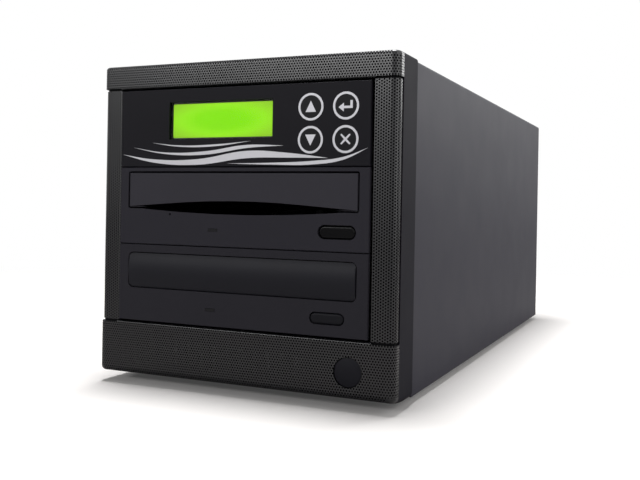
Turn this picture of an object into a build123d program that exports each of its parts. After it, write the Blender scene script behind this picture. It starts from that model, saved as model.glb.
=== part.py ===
from build123d import *
import os
from math import atan, cos, pi, radians, sin, sqrt, tan

os.makedirs("parts", exist_ok=True)

# A disc copying tower with three front bays: a controller with a display and four keys on top,
# and two disc drives below it, in a steel case with a perforated front.
# Millimetres. +Z is up, +X is to the right as one looks at the front, and the front faces -Y.
# The origin is on the floor, in the middle of the whole tower.

# ---------------------------------------------------------------- driving sizes: case
BODY_W = 176.0  # plastic front, across
BODY_H = 173.0  # plastic front, bottom to top
CASE_DEPTH = 400.0  # front plane of the bays to the back edge of the cover
FOOT_H = 4.0
FOOT_R = 11.0
FOOT_INSET = 24.0  # centre of a foot from the side of the case
FOOT_STEM_R = 2.8
SCREW_HEAD_H = 2.4
SHEET = 1.0  # steel sheet of the chassis and cover
COVER_INSET = 0.8  # cover inside the plastic front, each side
COVER_BEND_R = 1.5
FRONT_DEPTH = 30.0  # front plane of the bays to the front edge of the cover
SHEET_GAP = 0.1  # between two sheets that lie side by side
COVER_LIP = 9.0  # cover's inturned edge over the back panel
FLANGE = 12.0

# ---------------------------------------------------------------- driving sizes: bays
BAY_COUNT = 3
BAY_PITCH = 42.3
BAY_FLOOR_Z = 32.0  # bottom of the lowest bay above the underside of the case
PANEL_W = 148.0
PANEL_H = 41.9
PANEL_T = 2.6
BAY_GAP = 1.7  # round the three fronts
UNIT_W = 146.0  # drive body
UNIT_H = 41.0
UNIT_DEPTH = 170.0
CAGE_GAP = 0.4  # drive body to cage wall

# ---------------------------------------------------------------- driving sizes: plastic front
SKIN_T = 0.6  # perforated steel skin
PILLAR_BACK = 1.7  # pillar skin behind the front plane of the bays
BAND_PROUD = 0.8  # top and bottom skins stand forward of the pillar skins
BAND_OVERHANG = 0.4  # and outside them
SKIN_RETURN = 7.0  # how far back the skins wrap round the edges
SKIN_FOLD = 3.5  # depth of the folded inner edge of a skin
SKIN_PARTING = 1.2  # gap between a pillar skin and the skin above or below it
SIDE_EDGE_R = 4.0
TOP_EDGE_R = 1.6
BOTTOM_EDGE_R = 3.0
BOTTOM_RISE = 2.8  # the underside curves up towards the front
BOTTOM_RISE_RUN = 20.0
BEZEL_WALL = 2.4
BEZEL_FACE_T = 3.0
BEZEL_BACK_CHAMFER = 0.6
PEG_R = 2.4
PEG_BOSS_R = 3.4
PEG_LENGTH = 4.0
PEG_INSET = 7.0  # centre of a peg from the side of the front
PEG_HEIGHTS = (13.0, 165.0)

# ---------------------------------------------------------------- driving sizes: power button
POWER_X = 63.7
POWER_Z = 15.4
POWER_HOLE_R = 7.6
POWER_GAP = 0.35
POWER_TRAVEL = 2.0
POWER_BOSS_WALL = 2.0
POWER_BOSS_DEPTH = 12.0
SWITCH_SIDE = 12.0
SWITCH_DEPTH = 22.0

# ---------------------------------------------------------------- driving sizes: controller
KEY_R = 7.0
KEY_GAP = 0.15
KEY_X = (41.9, 60.9)
KEY_Z = (30.0, 13.5)  # above the bay floor
KEY_TRAVEL = 0.5
KEY_FLANGE = 0.9
WINDOW_X = -11.1  # centre of the display
WINDOW_Z = 25.0  # above the bay floor
WINDOW_W = 63.0
WINDOW_H = 20.0
WINDOW_LEDGE = 2.0
WINDOW_STEP = 1.0  # glass behind the face of the panel
LENS_T = 1.4
BOARD_T = 1.6

# ---------------------------------------------------------------- driving sizes: drives
TRAY_FRONT_W = 136.0
TRAY_FRONT_BASE = {"upper": 20.4, "lower": 18.6}  # above the bay floor
TRAY_FRONT_TOP = {"upper": 39.2, "lower": 37.4}
TRAY_FRONT_GAP = {"upper": 0.8, "lower": 0.45}
TRAY_FRONT_CORNER = {"upper": 0.4, "lower": 2.6}
TRAY_ARCH = 3.6  # the upper tray front's lower edge arches up by this
SCOOP_DROP = 2.4  # the finger slot under it dips by this
SCOOP_HALF = 60.0
TRAY_BULGE = 0.8  # the lower tray front is crowned
EJECT_X = {"upper": 57.0, "lower": 52.4}
EJECT_Z = {"upper": 9.8, "lower": 9.2}
EJECT_W = {"upper": 20.0, "lower": 18.4}
EJECT_H = {"upper": 6.6, "lower": 5.6}
EJECT_BACK = {"upper": 0.5, "lower": 0.0}  # button behind the drive's face
EJECT_GAP = 0.3
EJECT_TRAVEL = 0.8
LED_X = {"upper": -14.2, "lower": -15.1}
LED_Z = 8.9
LED_W = 5.6
LED_H = 1.4
PINHOLE_X = -41.2
PINHOLE_Z = 16.7
PINHOLE_R = 0.6
SHELL_T = 0.8
DISC_Y = 78.0  # middle of a loaded disc behind the front plane
DISC_R = 60.0
SMALL_DISC_R = 40.0
TRAY_TRAVEL = 140.0
TRAY_HALF_W = 64.5
TRAY_BOTTOM = 24.0
TRAY_T = 4.5
TRAY_END = 166.0
TRAY_SLOT_HALF = 18.0
PINION_R = 12.0
PINION_TEETH = 24
PINION_X = 40.0
PINION_Y = 20.0
PINION_T = 3.6
TOOTH_SHARE = 0.42  # tooth width over pitch at the pitch line; the rest is backlash
PIN_R = 1.5
RUNNING_GAP = 0.05
DECK_Z = 10.0
DECK_T = 2.0
FRAME_HALF_W = 68.0
FRAME_WALL = 2.0
TURNTABLE_R = 14.5
ROD_X = 22.0
ROD_Z = 15.5
ROD_R = 1.5
PICKUP_REST = 28.0  # lens behind the spindle at rest
PICKUP_TRAVEL = 34.0
PICKUP_HALF = 10.0
SCREW_X = 32.0

# ---------------------------------------------------------------- driving sizes: power supply and fans
PSU_SIDE_ROOM = 13.0  # side of the power supply to the side of the case
PSU_H = 86.0
PSU_DEPTH = 140.0
PSU_FAN = 80.0
PSU_FAN_INSET = 49.0  # centre of the fan from the side of the power supply
CASE_FAN = 60.0
CASE_FAN_Z = 130.0
FAN_T = 25.0
FAN_TIP_GAP = 1.0
FAN_BLADES = 7
INLET_INSET = 29.0  # centre of the mains inlet from the side of the power supply
INLET_Z = 60.0
INLET_W = 27.0
INLET_H = 20.0
ROCKER_Z = 29.0
ROCKER_W = 19.0
ROCKER_H = 13.0
ROCKER_TILT = 9.0  # degrees each way from level

# ---------------------------------------------------------------- places worked out from the sizes
FRONT_Y = -(CASE_DEPTH + SCREW_HEAD_H + TRAY_BULGE) / 2 + TRAY_BULGE  # front plane of the bays
REAR_Y = FRONT_Y + CASE_DEPTH
COVER_Y = FRONT_Y + FRONT_DEPTH
BASE_Z = FOOT_H
TOP_Z = BASE_Z + BODY_H
HALF_W = BODY_W / 2
PEG_X = HALF_W - PEG_INSET
PSU_HALF = HALF_W - PSU_SIDE_ROOM
PSU_FAN_X = PSU_HALF - PSU_FAN_INSET
INLET_X = INLET_INSET - PSU_HALF
BAND_Y = FRONT_Y + PILLAR_BACK - BAND_PROUD
PILLAR_Y = FRONT_Y + PILLAR_BACK
COVER_HALF = HALF_W - COVER_INSET
COVER_TOP = TOP_Z - COVER_INSET
CHASSIS_HALF = COVER_HALF - SHEET - SHEET_GAP
CHASSIS_TOP = COVER_TOP - SHEET - SHEET_GAP
FLOOR_TOP = BASE_Z + SHEET
WALL_Y = COVER_Y  # front face of the chassis front wall
PANEL_BACK_Y = REAR_Y - SHEET - SHEET_GAP  # back face of the rear panel
PSU_BACK_Y = PANEL_BACK_Y - SHEET
PSU_FRONT_Y = PSU_BACK_Y - PSU_DEPTH
BAYS_BASE = BASE_Z + BAY_FLOOR_Z
BAYS_TOP = BAYS_BASE + BAY_COUNT * BAY_PITCH
OPEN_HALF = PANEL_W / 2 + BAY_GAP
OPEN_BASE = BAYS_BASE - BAY_GAP
OPEN_TOP = BAYS_TOP + BAY_GAP
CAGE_INNER = UNIT_W / 2 + CAGE_GAP
CAGE_OUTER = CAGE_INNER + SHEET
BAY_Z = {"lower": BAYS_BASE, "upper": BAYS_BASE + BAY_PITCH, "controller": BAYS_BASE + 2 * BAY_PITCH}


def back(distance):
    """Y of a place so far behind the front plane of the bays."""
    return FRONT_Y + distance


def level(z):
    """A horizontal plane."""
    return Plane.XY.offset(z)


def upright(y):
    """A plane that faces the front, with X to the right and Z up."""
    return Plane.XZ.offset(-y)


def side_on(x):
    """A plane that faces the right side, with Y across and Z up."""
    return Plane.YZ.offset(x)


def slab(x0, x1, y0, y1, z0, z1, mode=Mode.ADD):
    """A block between two corners, added to the piece being made."""
    with Locations(((x0 + x1) / 2, (y0 + y1) / 2, (z0 + z1) / 2)):
        Box(x1 - x0, y1 - y0, z1 - z0, mode=mode)


def post(x, y, z0, z1, radius, mode=Mode.ADD):
    """An upright round post or hole, added to the piece being made."""
    with Locations((x, y, (z0 + z1) / 2)):
        Cylinder(radius, z1 - z0, mode=mode)


def peg(x, y0, y1, z, radius, mode=Mode.ADD):
    """A round peg or hole along Y, added to the piece being made."""
    with Locations(Location((x, (y0 + y1) / 2, z), (90, 0, 0))):
        Cylinder(radius, y1 - y0, mode=mode)


def cross_pin(x0, x1, y, z, radius, mode=Mode.ADD):
    """A round pin or hole along X, added to the piece being made."""
    with Locations(Location(((x0 + x1) / 2, y, z), (0, 90, 0))):
        Cylinder(radius, x1 - x0, mode=mode)


def save(piece, name):
    """Label a finished piece and write its file."""
    piece.part.label = name
    export_step(piece.part, f"parts/{name}.step")


# ================================================================ plastic front and its skins
def front_form(half_width, front_y, back_y, inset):
    """The rounded outer form of the front, drawn from the side and drawn in by an inset."""
    base = BASE_Z + inset
    top = TOP_Z - inset
    face = front_y + inset
    with BuildPart() as form:
        with BuildSketch(side_on(inset - half_width)):
            with BuildLine():
                Polyline((back_y, base), (back_y, top), (face, top), (face, base + BOTTOM_RISE))
                RadiusArc(
                    (face, base + BOTTOM_RISE),
                    (face + BOTTOM_RISE_RUN, base),
                    -(BOTTOM_RISE_RUN**2 + BOTTOM_RISE**2) / (2 * BOTTOM_RISE),
                )
                Line((face + BOTTOM_RISE_RUN, base), (back_y, base))
            make_face()
        extrude(amount=2 * (half_width - inset))
        fillet(form.edges().filter_by(Axis.Z).group_by(Axis.Y)[0], SIDE_EDGE_R - inset)
        top_edges = form.faces().sort_by(Axis.Z)[-1].edges().sort_by(Axis.Y)[:-1]
        fillet(top_edges, TOP_EDGE_R - inset)
        low_edges = form.edges().filter_by(
            lambda e: e.center().Z < base + BOTTOM_RISE + 0.1
            and e.center().Y < back_y - 0.1
            and not (abs(e.center().Y - face - BOTTOM_RISE_RUN) < 0.1 and abs(e.center().X) < 0.1)
        )
        fillet(low_edges, BOTTOM_EDGE_R - inset)
    return form.part


FORM_BACK = COVER_Y
band_outer = front_form(HALF_W, BAND_Y, FORM_BACK, 0)
band_inner = front_form(HALF_W, BAND_Y, FORM_BACK, SKIN_T)
pillar_outer = front_form(HALF_W - BAND_OVERHANG, PILLAR_Y, FORM_BACK, 0)
pillar_inner = front_form(HALF_W - BAND_OVERHANG, PILLAR_Y, FORM_BACK, SKIN_T)

SKIN_END = BAND_Y + SKIN_RETURN
WIDE = HALF_W + 1
FACE_BACK = PILLAR_Y + SKIN_T + BEZEL_FACE_T
COLLAR_HALF = OPEN_HALF + BEZEL_WALL
TOP_BAND_BASE = OPEN_TOP
BOTTOM_BAND_TOP = OPEN_BASE
SLOT_COUNT = 14
SLOT_PITCH = 8.0
SLOT_W = 4.0
SLOT_H = 13.0
SLOT_X = -72.0

with BuildPart() as front_bezel:
    add(pillar_inner)
    slab(-WIDE, WIDE, BAND_Y, SKIN_END, OPEN_BASE, OPEN_TOP, mode=Mode.INTERSECT)
    add(band_outer)
    slab(-WIDE, WIDE, BAND_Y - 1, SKIN_END, BASE_Z - 1, TOP_Z + 1, mode=Mode.SUBTRACT)
    add(band_inner)
    slab(-WIDE, WIDE, BAND_Y - 1, SKIN_END, OPEN_BASE, OPEN_TOP, mode=Mode.SUBTRACT)
    add(pillar_inner)
    chamfer(front_bezel.faces().sort_by(Axis.Y)[-1].edges(), BEZEL_BACK_CHAMFER)
    # hollow at the back, with a collar round the bays
    slab(
        -HALF_W + BEZEL_WALL, HALF_W - BEZEL_WALL, FACE_BACK, FORM_BACK + 1,
        BASE_Z + BEZEL_WALL, TOP_Z - BEZEL_WALL, mode=Mode.SUBTRACT,
    )
    slab(
        -COLLAR_HALF, COLLAR_HALF, FACE_BACK, FORM_BACK,
        OPEN_BASE - BEZEL_WALL, OPEN_TOP + BEZEL_WALL,
    )
    for peg_z in PEG_HEIGHTS:
        for peg_x in (-PEG_X, PEG_X):
            peg(peg_x, FACE_BACK, FORM_BACK, BASE_Z + peg_z, PEG_BOSS_R)
            peg(peg_x, FORM_BACK, FORM_BACK + PEG_LENGTH, BASE_Z + peg_z, PEG_R)
    peg(
        POWER_X, FACE_BACK, FACE_BACK + POWER_BOSS_DEPTH, BASE_Z + POWER_Z,
        POWER_HOLE_R + POWER_BOSS_WALL,
    )
    slab(-OPEN_HALF, OPEN_HALF, BAND_Y - 1, FORM_BACK + 1, OPEN_BASE, OPEN_TOP, mode=Mode.SUBTRACT)
    peg(POWER_X, BAND_Y - 1, FORM_BACK, BASE_Z + POWER_Z, POWER_HOLE_R, mode=Mode.SUBTRACT)
    # air inlets behind the bottom skin
    for slot in range(SLOT_COUNT):
        slot_x = SLOT_X + slot * SLOT_PITCH
        slab(
            slot_x, slot_x + SLOT_W, BAND_Y - 1, FACE_BACK + 1,
            BASE_Z + POWER_Z - SLOT_H / 2, BASE_Z + POWER_Z + SLOT_H / 2, mode=Mode.SUBTRACT,
        )
save(front_bezel, "front_bezel")

with BuildPart() as mesh_top:
    add(band_outer)
    add(band_inner, mode=Mode.SUBTRACT)
    slab(-WIDE, WIDE, BAND_Y - 1, SKIN_END, TOP_BAND_BASE, TOP_Z + 1, mode=Mode.INTERSECT)
    # folded lower edge, inside the bay opening's top corner
    slab(
        -OPEN_HALF, OPEN_HALF, BAND_Y + SKIN_T, BAND_Y + SKIN_T + SKIN_FOLD,
        TOP_BAND_BASE - SKIN_T, TOP_BAND_BASE,
    )
    slab(-OPEN_HALF, OPEN_HALF, BAND_Y, BAND_Y + SKIN_T, TOP_BAND_BASE - SKIN_T, TOP_BAND_BASE)
save(mesh_top, "mesh_top")

with BuildPart() as mesh_bottom:
    add(band_outer)
    add(band_inner, mode=Mode.SUBTRACT)
    slab(-WIDE, WIDE, BAND_Y - 1, SKIN_END, BASE_Z - 1, BOTTOM_BAND_TOP, mode=Mode.INTERSECT)
    slab(
        -OPEN_HALF, OPEN_HALF, BAND_Y, BAND_Y + SKIN_T + SKIN_FOLD,
        BOTTOM_BAND_TOP, BOTTOM_BAND_TOP + SKIN_T,
    )
    peg(POWER_X, BAND_Y - 1, FACE_BACK, BASE_Z + POWER_Z, POWER_HOLE_R, mode=Mode.SUBTRACT)
save(mesh_bottom, "mesh_bottom")


def pillar_skin(name, side):
    """One perforated pillar skin, wrapped round the side edge and folded in at the bays."""
    inner_x = side * OPEN_HALF
    fold_x = inner_x - side * SKIN_T
    outer_x = side * WIDE
    low_z = BOTTOM_BAND_TOP + SKIN_PARTING
    high_z = TOP_BAND_BASE - SKIN_PARTING
    with BuildPart() as skin:
        add(pillar_outer)
        add(pillar_inner, mode=Mode.SUBTRACT)
        slab(
            min(inner_x, outer_x), max(inner_x, outer_x), PILLAR_Y - 1, SKIN_END,
            low_z, high_z, mode=Mode.INTERSECT,
        )
        slab(
            min(inner_x, fold_x), max(inner_x, fold_x), PILLAR_Y, PILLAR_Y + SKIN_T + SKIN_FOLD,
            low_z, high_z,
        )
    save(skin, name)


pillar_skin("mesh_left", -1)
pillar_skin("mesh_right", 1)

# ================================================================ power button and its switch
POWER_R = POWER_HOLE_R - POWER_GAP
POWER_SPHERE_R = 40.0
BOSS_END = FACE_BACK + POWER_BOSS_DEPTH
POWER_FLANGE_T = 1.6
POWER_STEM_R = 3.0
SWITCH_FRONT = COVER_Y - SHEET - POWER_TRAVEL
SWITCH_PLUNGER = 1.0
SWITCH_TERMINAL = 3.0
POWER_STEM_END = SWITCH_FRONT - SWITCH_PLUNGER - POWER_TRAVEL - RUNNING_GAP

with BuildPart() as power_button:
    peg(POWER_X, BAND_Y, BOSS_END + SHEET_GAP, BASE_Z + POWER_Z, POWER_R)
    with Locations((POWER_X, BAND_Y + POWER_SPHERE_R, BASE_Z + POWER_Z)):
        Sphere(POWER_SPHERE_R, mode=Mode.INTERSECT)
    peg(
        POWER_X, BOSS_END + SHEET_GAP, BOSS_END + SHEET_GAP + POWER_FLANGE_T, BASE_Z + POWER_Z,
        POWER_HOLE_R + 1,
    )
    peg(
        POWER_X, BOSS_END + SHEET_GAP + POWER_FLANGE_T, POWER_STEM_END,
        BASE_Z + POWER_Z, POWER_STEM_R,
    )
save(power_button, "power_button")

SWITCH_FLANGE = 2.0
with BuildPart() as power_switch:
    half = SWITCH_SIDE / 2
    slab(
        POWER_X - half, POWER_X + half, SWITCH_FRONT, SWITCH_FRONT + SWITCH_DEPTH,
        BASE_Z + POWER_Z - half, BASE_Z + POWER_Z + half,
    )
    slab(
        POWER_X - half - SWITCH_FLANGE, POWER_X + half + SWITCH_FLANGE,
        WALL_Y - SHEET, WALL_Y,
        BASE_Z + POWER_Z - half - SWITCH_FLANGE, BASE_Z + POWER_Z + half + SWITCH_FLANGE,
    )
    peg(
        POWER_X, SWITCH_FRONT - SWITCH_PLUNGER, SWITCH_FRONT,
        BASE_Z + POWER_Z, POWER_STEM_R - 0.5,
    )
    for terminal_x in (POWER_X - half / 2, POWER_X + half / 2):
        slab(
            terminal_x - 0.4, terminal_x + 0.4,
            SWITCH_FRONT + SWITCH_DEPTH, SWITCH_FRONT + SWITCH_DEPTH + SWITCH_TERMINAL,
            BASE_Z + POWER_Z - 1.5, BASE_Z + POWER_Z + 1.5,
        )
save(power_switch, "power_switch")

# ================================================================ chassis, cage, cover
FOOT_Y = (COVER_Y + FOOT_INSET, REAR_Y - FOOT_INSET)
FOOT_X = HALF_W - FOOT_INSET
FOOT_HOLE_GAP = 0.1
HOLE_GAP = 0.4
CAGE_DEPTH = 165.0
CAGE_BACK = WALL_Y + SHEET + CAGE_DEPTH
CAGE_FOOT = 8.0

with BuildPart() as chassis_base:
    slab(-CHASSIS_HALF, CHASSIS_HALF, WALL_Y, PANEL_BACK_Y, BASE_Z, FLOOR_TOP)
    slab(-CHASSIS_HALF, CHASSIS_HALF, WALL_Y, WALL_Y + SHEET, BASE_Z, CHASSIS_TOP)
    for side in (-1, 1):
        slab(
            min(side * CHASSIS_HALF, side * (CHASSIS_HALF - SHEET)),
            max(side * CHASSIS_HALF, side * (CHASSIS_HALF - SHEET)),
            WALL_Y, PSU_BACK_Y, BASE_Z, FLOOR_TOP + FLANGE,
        )
        slab(
            min(side * CHASSIS_HALF, side * (CHASSIS_HALF - SHEET)),
            max(side * CHASSIS_HALF, side * (CHASSIS_HALF - SHEET)),
            WALL_Y, WALL_Y + FLANGE, BASE_Z, CHASSIS_TOP,
        )
    slab(-CHASSIS_HALF, CHASSIS_HALF, WALL_Y, WALL_Y + FLANGE, CHASSIS_TOP - SHEET, CHASSIS_TOP)
    # opening for the three bays, and holes for the front's pegs and the power switch
    slab(
        -OPEN_HALF, OPEN_HALF, WALL_Y - 1, WALL_Y + SHEET + 1, OPEN_BASE, OPEN_TOP,
        mode=Mode.SUBTRACT,
    )
    for peg_z in PEG_HEIGHTS:
        for peg_x in (-PEG_X, PEG_X):
            peg(peg_x, WALL_Y - 1, WALL_Y + 2, BASE_Z + peg_z, PEG_R + 0.2, mode=Mode.SUBTRACT)
    slab(
        POWER_X - SWITCH_SIDE / 2 - SHEET_GAP, POWER_X + SWITCH_SIDE / 2 + SHEET_GAP,
        WALL_Y - 1, WALL_Y + 2,
        BASE_Z + POWER_Z - SWITCH_SIDE / 2 - SHEET_GAP,
        BASE_Z + POWER_Z + SWITCH_SIDE / 2 + SHEET_GAP, mode=Mode.SUBTRACT,
    )
    for foot_y in FOOT_Y:
        for foot_x in (-FOOT_X, FOOT_X):
            post(
                foot_x, foot_y, BASE_Z - 1, FLOOR_TOP + 1, FOOT_STEM_R + FOOT_HOLE_GAP,
                mode=Mode.SUBTRACT,
            )
    # floor slots that let air in under the drives
    for slot in range(SLOT_COUNT):
        slot_x = (slot - (SLOT_COUNT - 1) / 2) * SLOT_PITCH
        slab(
            slot_x - SLOT_W / 2, slot_x + SLOT_W / 2, back(70), back(130),
            BASE_Z - 1, FLOOR_TOP + 1, mode=Mode.SUBTRACT,
        )
save(chassis_base, "chassis_base")

with BuildPart() as rubber_feet:
    for foot_y in FOOT_Y:
        for foot_x in (-FOOT_X, FOOT_X):
            with Locations((foot_x, foot_y, FOOT_H / 2)):
                Cone(FOOT_R - 1.5, FOOT_R, FOOT_H)
            post(foot_x, foot_y, FOOT_H, FLOOR_TOP, FOOT_STEM_R)
save(rubber_feet, "rubber_feet")

SHELF_Z = BAYS_BASE - SHEET_GAP
WINDOW_MARGIN = 12.0
UNIT_SCREW_Y = (80.0, 128.0)
UNIT_SCREW_Z = 10.0
M3_R = 1.5
M3_HEAD_R = 2.8
M3_HEAD_H = 1.8
M3_LENGTH = 4.0
M3_HOLE_R = 1.7

with BuildPart() as drive_cage:
    for side in (-1, 1):
        slab(
            min(side * CAGE_INNER, side * CAGE_OUTER), max(side * CAGE_INNER, side * CAGE_OUTER),
            WALL_Y + SHEET, CAGE_BACK, FLOOR_TOP, OPEN_TOP,
        )
        slab(
            min(side * CAGE_INNER, side * (CAGE_OUTER + CAGE_FOOT)),
            max(side * CAGE_INNER, side * (CAGE_OUTER + CAGE_FOOT)),
            WALL_Y + SHEET, CAGE_BACK, FLOOR_TOP, FLOOR_TOP + SHEET,
        )
    slab(-CAGE_OUTER, CAGE_OUTER, WALL_Y + SHEET, CAGE_BACK, SHELF_Z - SHEET, SHELF_Z)
    slab(
        -CAGE_INNER + FLANGE, CAGE_INNER - FLANGE, back(60), back(UNIT_DEPTH - 20), SHELF_Z - 2, SHELF_Z + 1,
        mode=Mode.SUBTRACT,
    )
    for bay_z in BAY_Z.values():
        # one window for each bay in both walls, above the line of screws
        slab(
            -CAGE_OUTER - 1, CAGE_OUTER + 1, back(UNIT_SCREW_Y[0]), back(UNIT_SCREW_Y[1]),
            bay_z + UNIT_SCREW_Z + WINDOW_MARGIN / 2, bay_z + BAY_PITCH - WINDOW_MARGIN,
            mode=Mode.SUBTRACT,
        )
        for screw_y in UNIT_SCREW_Y:
            cross_pin(
                -CAGE_OUTER - 1, CAGE_OUTER + 1, back(screw_y), bay_z + UNIT_SCREW_Z, M3_HOLE_R,
                mode=Mode.SUBTRACT,
            )
save(drive_cage, "drive_cage")

with BuildPart() as drive_screws:
    for bay_z in BAY_Z.values():
        for screw_y in UNIT_SCREW_Y:
            for side in (-1, 1):
                outer = side * CAGE_OUTER
                head = side * (CAGE_OUTER + M3_HEAD_H)
                tip = side * (CAGE_OUTER - M3_LENGTH)
                screw_z = bay_z + UNIT_SCREW_Z
                cross_pin(min(outer, head), max(outer, head), back(screw_y), screw_z, M3_HEAD_R)
                cross_pin(min(outer, tip), max(outer, tip), back(screw_y), screw_z, M3_R)
                slot_depth = side * (CAGE_OUTER + M3_HEAD_H / 2)
                slab(
                    min(slot_depth, head), max(slot_depth, head),
                    back(screw_y) - M3_R, back(screw_y) + M3_R, screw_z - 0.3, screw_z + 0.3,
                    mode=Mode.SUBTRACT,
                )
                slab(
                    min(slot_depth, head), max(slot_depth, head),
                    back(screw_y) - 0.3, back(screw_y) + 0.3, screw_z - M3_R, screw_z + M3_R,
                    mode=Mode.SUBTRACT,
                )
save(drive_screws, "drive_screws")

# screws at the back: cover, power supply and case fan
CASE_R = 1.7
CASE_HEAD_R = 3.5
CASE_HOLE_R = 1.9
CASE_LENGTH = 6.0
PSU_HOLE_X = 69.0
PSU_HOLE_Z = (6.0, 80.0)
FAN_HOLE_SHARE = 0.4167  # hole from the fan's middle over the fan's side
PSU_BASE = FLOOR_TOP
FAN_Z = BASE_Z + CASE_FAN_Z
CASE_FAN_HOLE = CASE_FAN * FAN_HOLE_SHARE
cover_screw_places = [
    (side * (CHASSIS_HALF - COVER_LIP / 2 + SHEET), BASE_Z + z) for side in (-1, 1) for z in (30.0, 150.0)
]
psu_screw_places = [(x, PSU_BASE + z) for x in (-PSU_HOLE_X, PSU_HOLE_X) for z in PSU_HOLE_Z]
fan_screw_places = [
    (x, FAN_Z + z) for x in (-CASE_FAN_HOLE, CASE_FAN_HOLE) for z in (-CASE_FAN_HOLE, CASE_FAN_HOLE)
]

with BuildPart() as steel_cover:
    with BuildSketch(upright(COVER_Y)):
        with Locations((0, BASE_Z)):
            Rectangle(2 * COVER_HALF, COVER_TOP - BASE_Z, align=(Align.CENTER, Align.MIN))
    extrude(amount=COVER_Y - REAR_Y)
    fillet(steel_cover.edges().filter_by(Axis.Y).group_by(Axis.Z)[-1], COVER_BEND_R)
    slab(
        -COVER_HALF + SHEET, COVER_HALF - SHEET, COVER_Y - 1, REAR_Y - SHEET,
        BASE_Z - 1, COVER_TOP - SHEET, mode=Mode.SUBTRACT,
    )
    slab(
        -COVER_HALF + COVER_LIP, COVER_HALF - COVER_LIP, REAR_Y - SHEET - 1, REAR_Y + 1,
        BASE_Z - 1, COVER_TOP - COVER_LIP, mode=Mode.SUBTRACT,
    )
    for screw_x, screw_z in cover_screw_places:
        peg(screw_x, REAR_Y - 3, REAR_Y + 1, screw_z, CASE_HOLE_R, mode=Mode.SUBTRACT)
save(steel_cover, "steel_cover")


GRILLE_RING = 1.8
GRILLE_GAP = 4.2
GRILLE_SPOKE = 2.2


def grille(radius, x, z, front_y, back_y, ring, gap):
    """Ring slots of a stamped fan grille, cut between spokes."""
    radius_out = radius
    while radius_out > ring + gap:
        with BuildSketch(upright(back_y + 1)) as ring_slot:
            with Locations((x, z)):
                Circle(radius_out)
                Circle(radius_out - gap, mode=Mode.SUBTRACT)
                Rectangle(2 * radius + 2, GRILLE_SPOKE, rotation=45, mode=Mode.SUBTRACT)
                Rectangle(2 * radius + 2, GRILLE_SPOKE, rotation=-45, mode=Mode.SUBTRACT)
        extrude(ring_slot.sketch, amount=back_y + 2 - front_y, mode=Mode.SUBTRACT)
        radius_out -= ring + gap


PSU_OPEN_MARGIN = 4.0

with BuildPart() as rear_panel:
    slab(-CHASSIS_HALF, CHASSIS_HALF, PSU_BACK_Y, PANEL_BACK_Y, FLOOR_TOP, CHASSIS_TOP)
    for side in (-1, 1):
        slab(
            min(side * CHASSIS_HALF, side * (CHASSIS_HALF - SHEET)),
            max(side * CHASSIS_HALF, side * (CHASSIS_HALF - SHEET)),
            PSU_BACK_Y - FLANGE, PSU_BACK_Y, FLOOR_TOP + FLANGE + SHEET_GAP, CHASSIS_TOP,
        )
    grille(CASE_FAN / 2 - 2, 0, FAN_Z, PSU_BACK_Y, PANEL_BACK_Y, GRILLE_RING, GRILLE_GAP)
    slab(
        -PSU_HALF + PSU_OPEN_MARGIN, PSU_HALF - PSU_OPEN_MARGIN,
        PSU_BACK_Y - 1, PANEL_BACK_Y + 1,
        PSU_BASE + PSU_OPEN_MARGIN, PSU_BASE + PSU_H - PSU_OPEN_MARGIN, mode=Mode.SUBTRACT,
    )
    for screw_x, screw_z in psu_screw_places:
        slab(
            screw_x - CASE_HEAD_R - 1, screw_x + CASE_HEAD_R + 1, PSU_BACK_Y, PANEL_BACK_Y,
            screw_z - CASE_HEAD_R - 1, screw_z + CASE_HEAD_R + 1,
        )
    for screw_x, screw_z in cover_screw_places + psu_screw_places + fan_screw_places:
        peg(screw_x, PSU_BACK_Y - 1, PANEL_BACK_Y + 1, screw_z, CASE_HOLE_R, mode=Mode.SUBTRACT)
save(rear_panel, "rear_panel")

with BuildPart() as case_screws:
    seats = [(REAR_Y, cover_screw_places), (PANEL_BACK_Y, psu_screw_places + fan_screw_places)]
    for seat_y, places in seats:
        for screw_x, screw_z in places:
            peg(screw_x, seat_y, seat_y + SCREW_HEAD_H, screw_z, CASE_HEAD_R)
            peg(screw_x, seat_y - CASE_LENGTH, seat_y, screw_z, CASE_R)
            for across, tall in ((CASE_R, 0.4), (0.4, CASE_R)):
                slab(
                    screw_x - across, screw_x + across,
                    seat_y + SCREW_HEAD_H / 2, seat_y + SCREW_HEAD_H + 1,
                    screw_z - tall, screw_z + tall, mode=Mode.SUBTRACT,
                )
save(case_screws, "case_screws")

# ================================================================ controller
CONTROL_Z = BAY_Z["controller"]
PANEL_MID_Z = BAY_PITCH / 2
EDGE_SOFT = 0.35
ARM_T = 1.2
ARM_DEPTH = 14.0
POST_R = 2.0
FRONT_BOARD_Y = back(9.5)
FRONT_BOARD_X = (-52.0, 70.4)
FRONT_BOARD_Z = (3.0, 40.2)
FRONT_POSTS = [(x, z) for x in (-49.0, 68.0) for z in (5.0, 38.0)]
SLED_BACK = back(150.0)
SLED_Z = 0.6
SLED_H = 34.0
SLED_T = 0.8
SLED_HALF = UNIT_W / 2
PANEL_REAR_Y = FRONT_Y + PANEL_T

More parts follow.
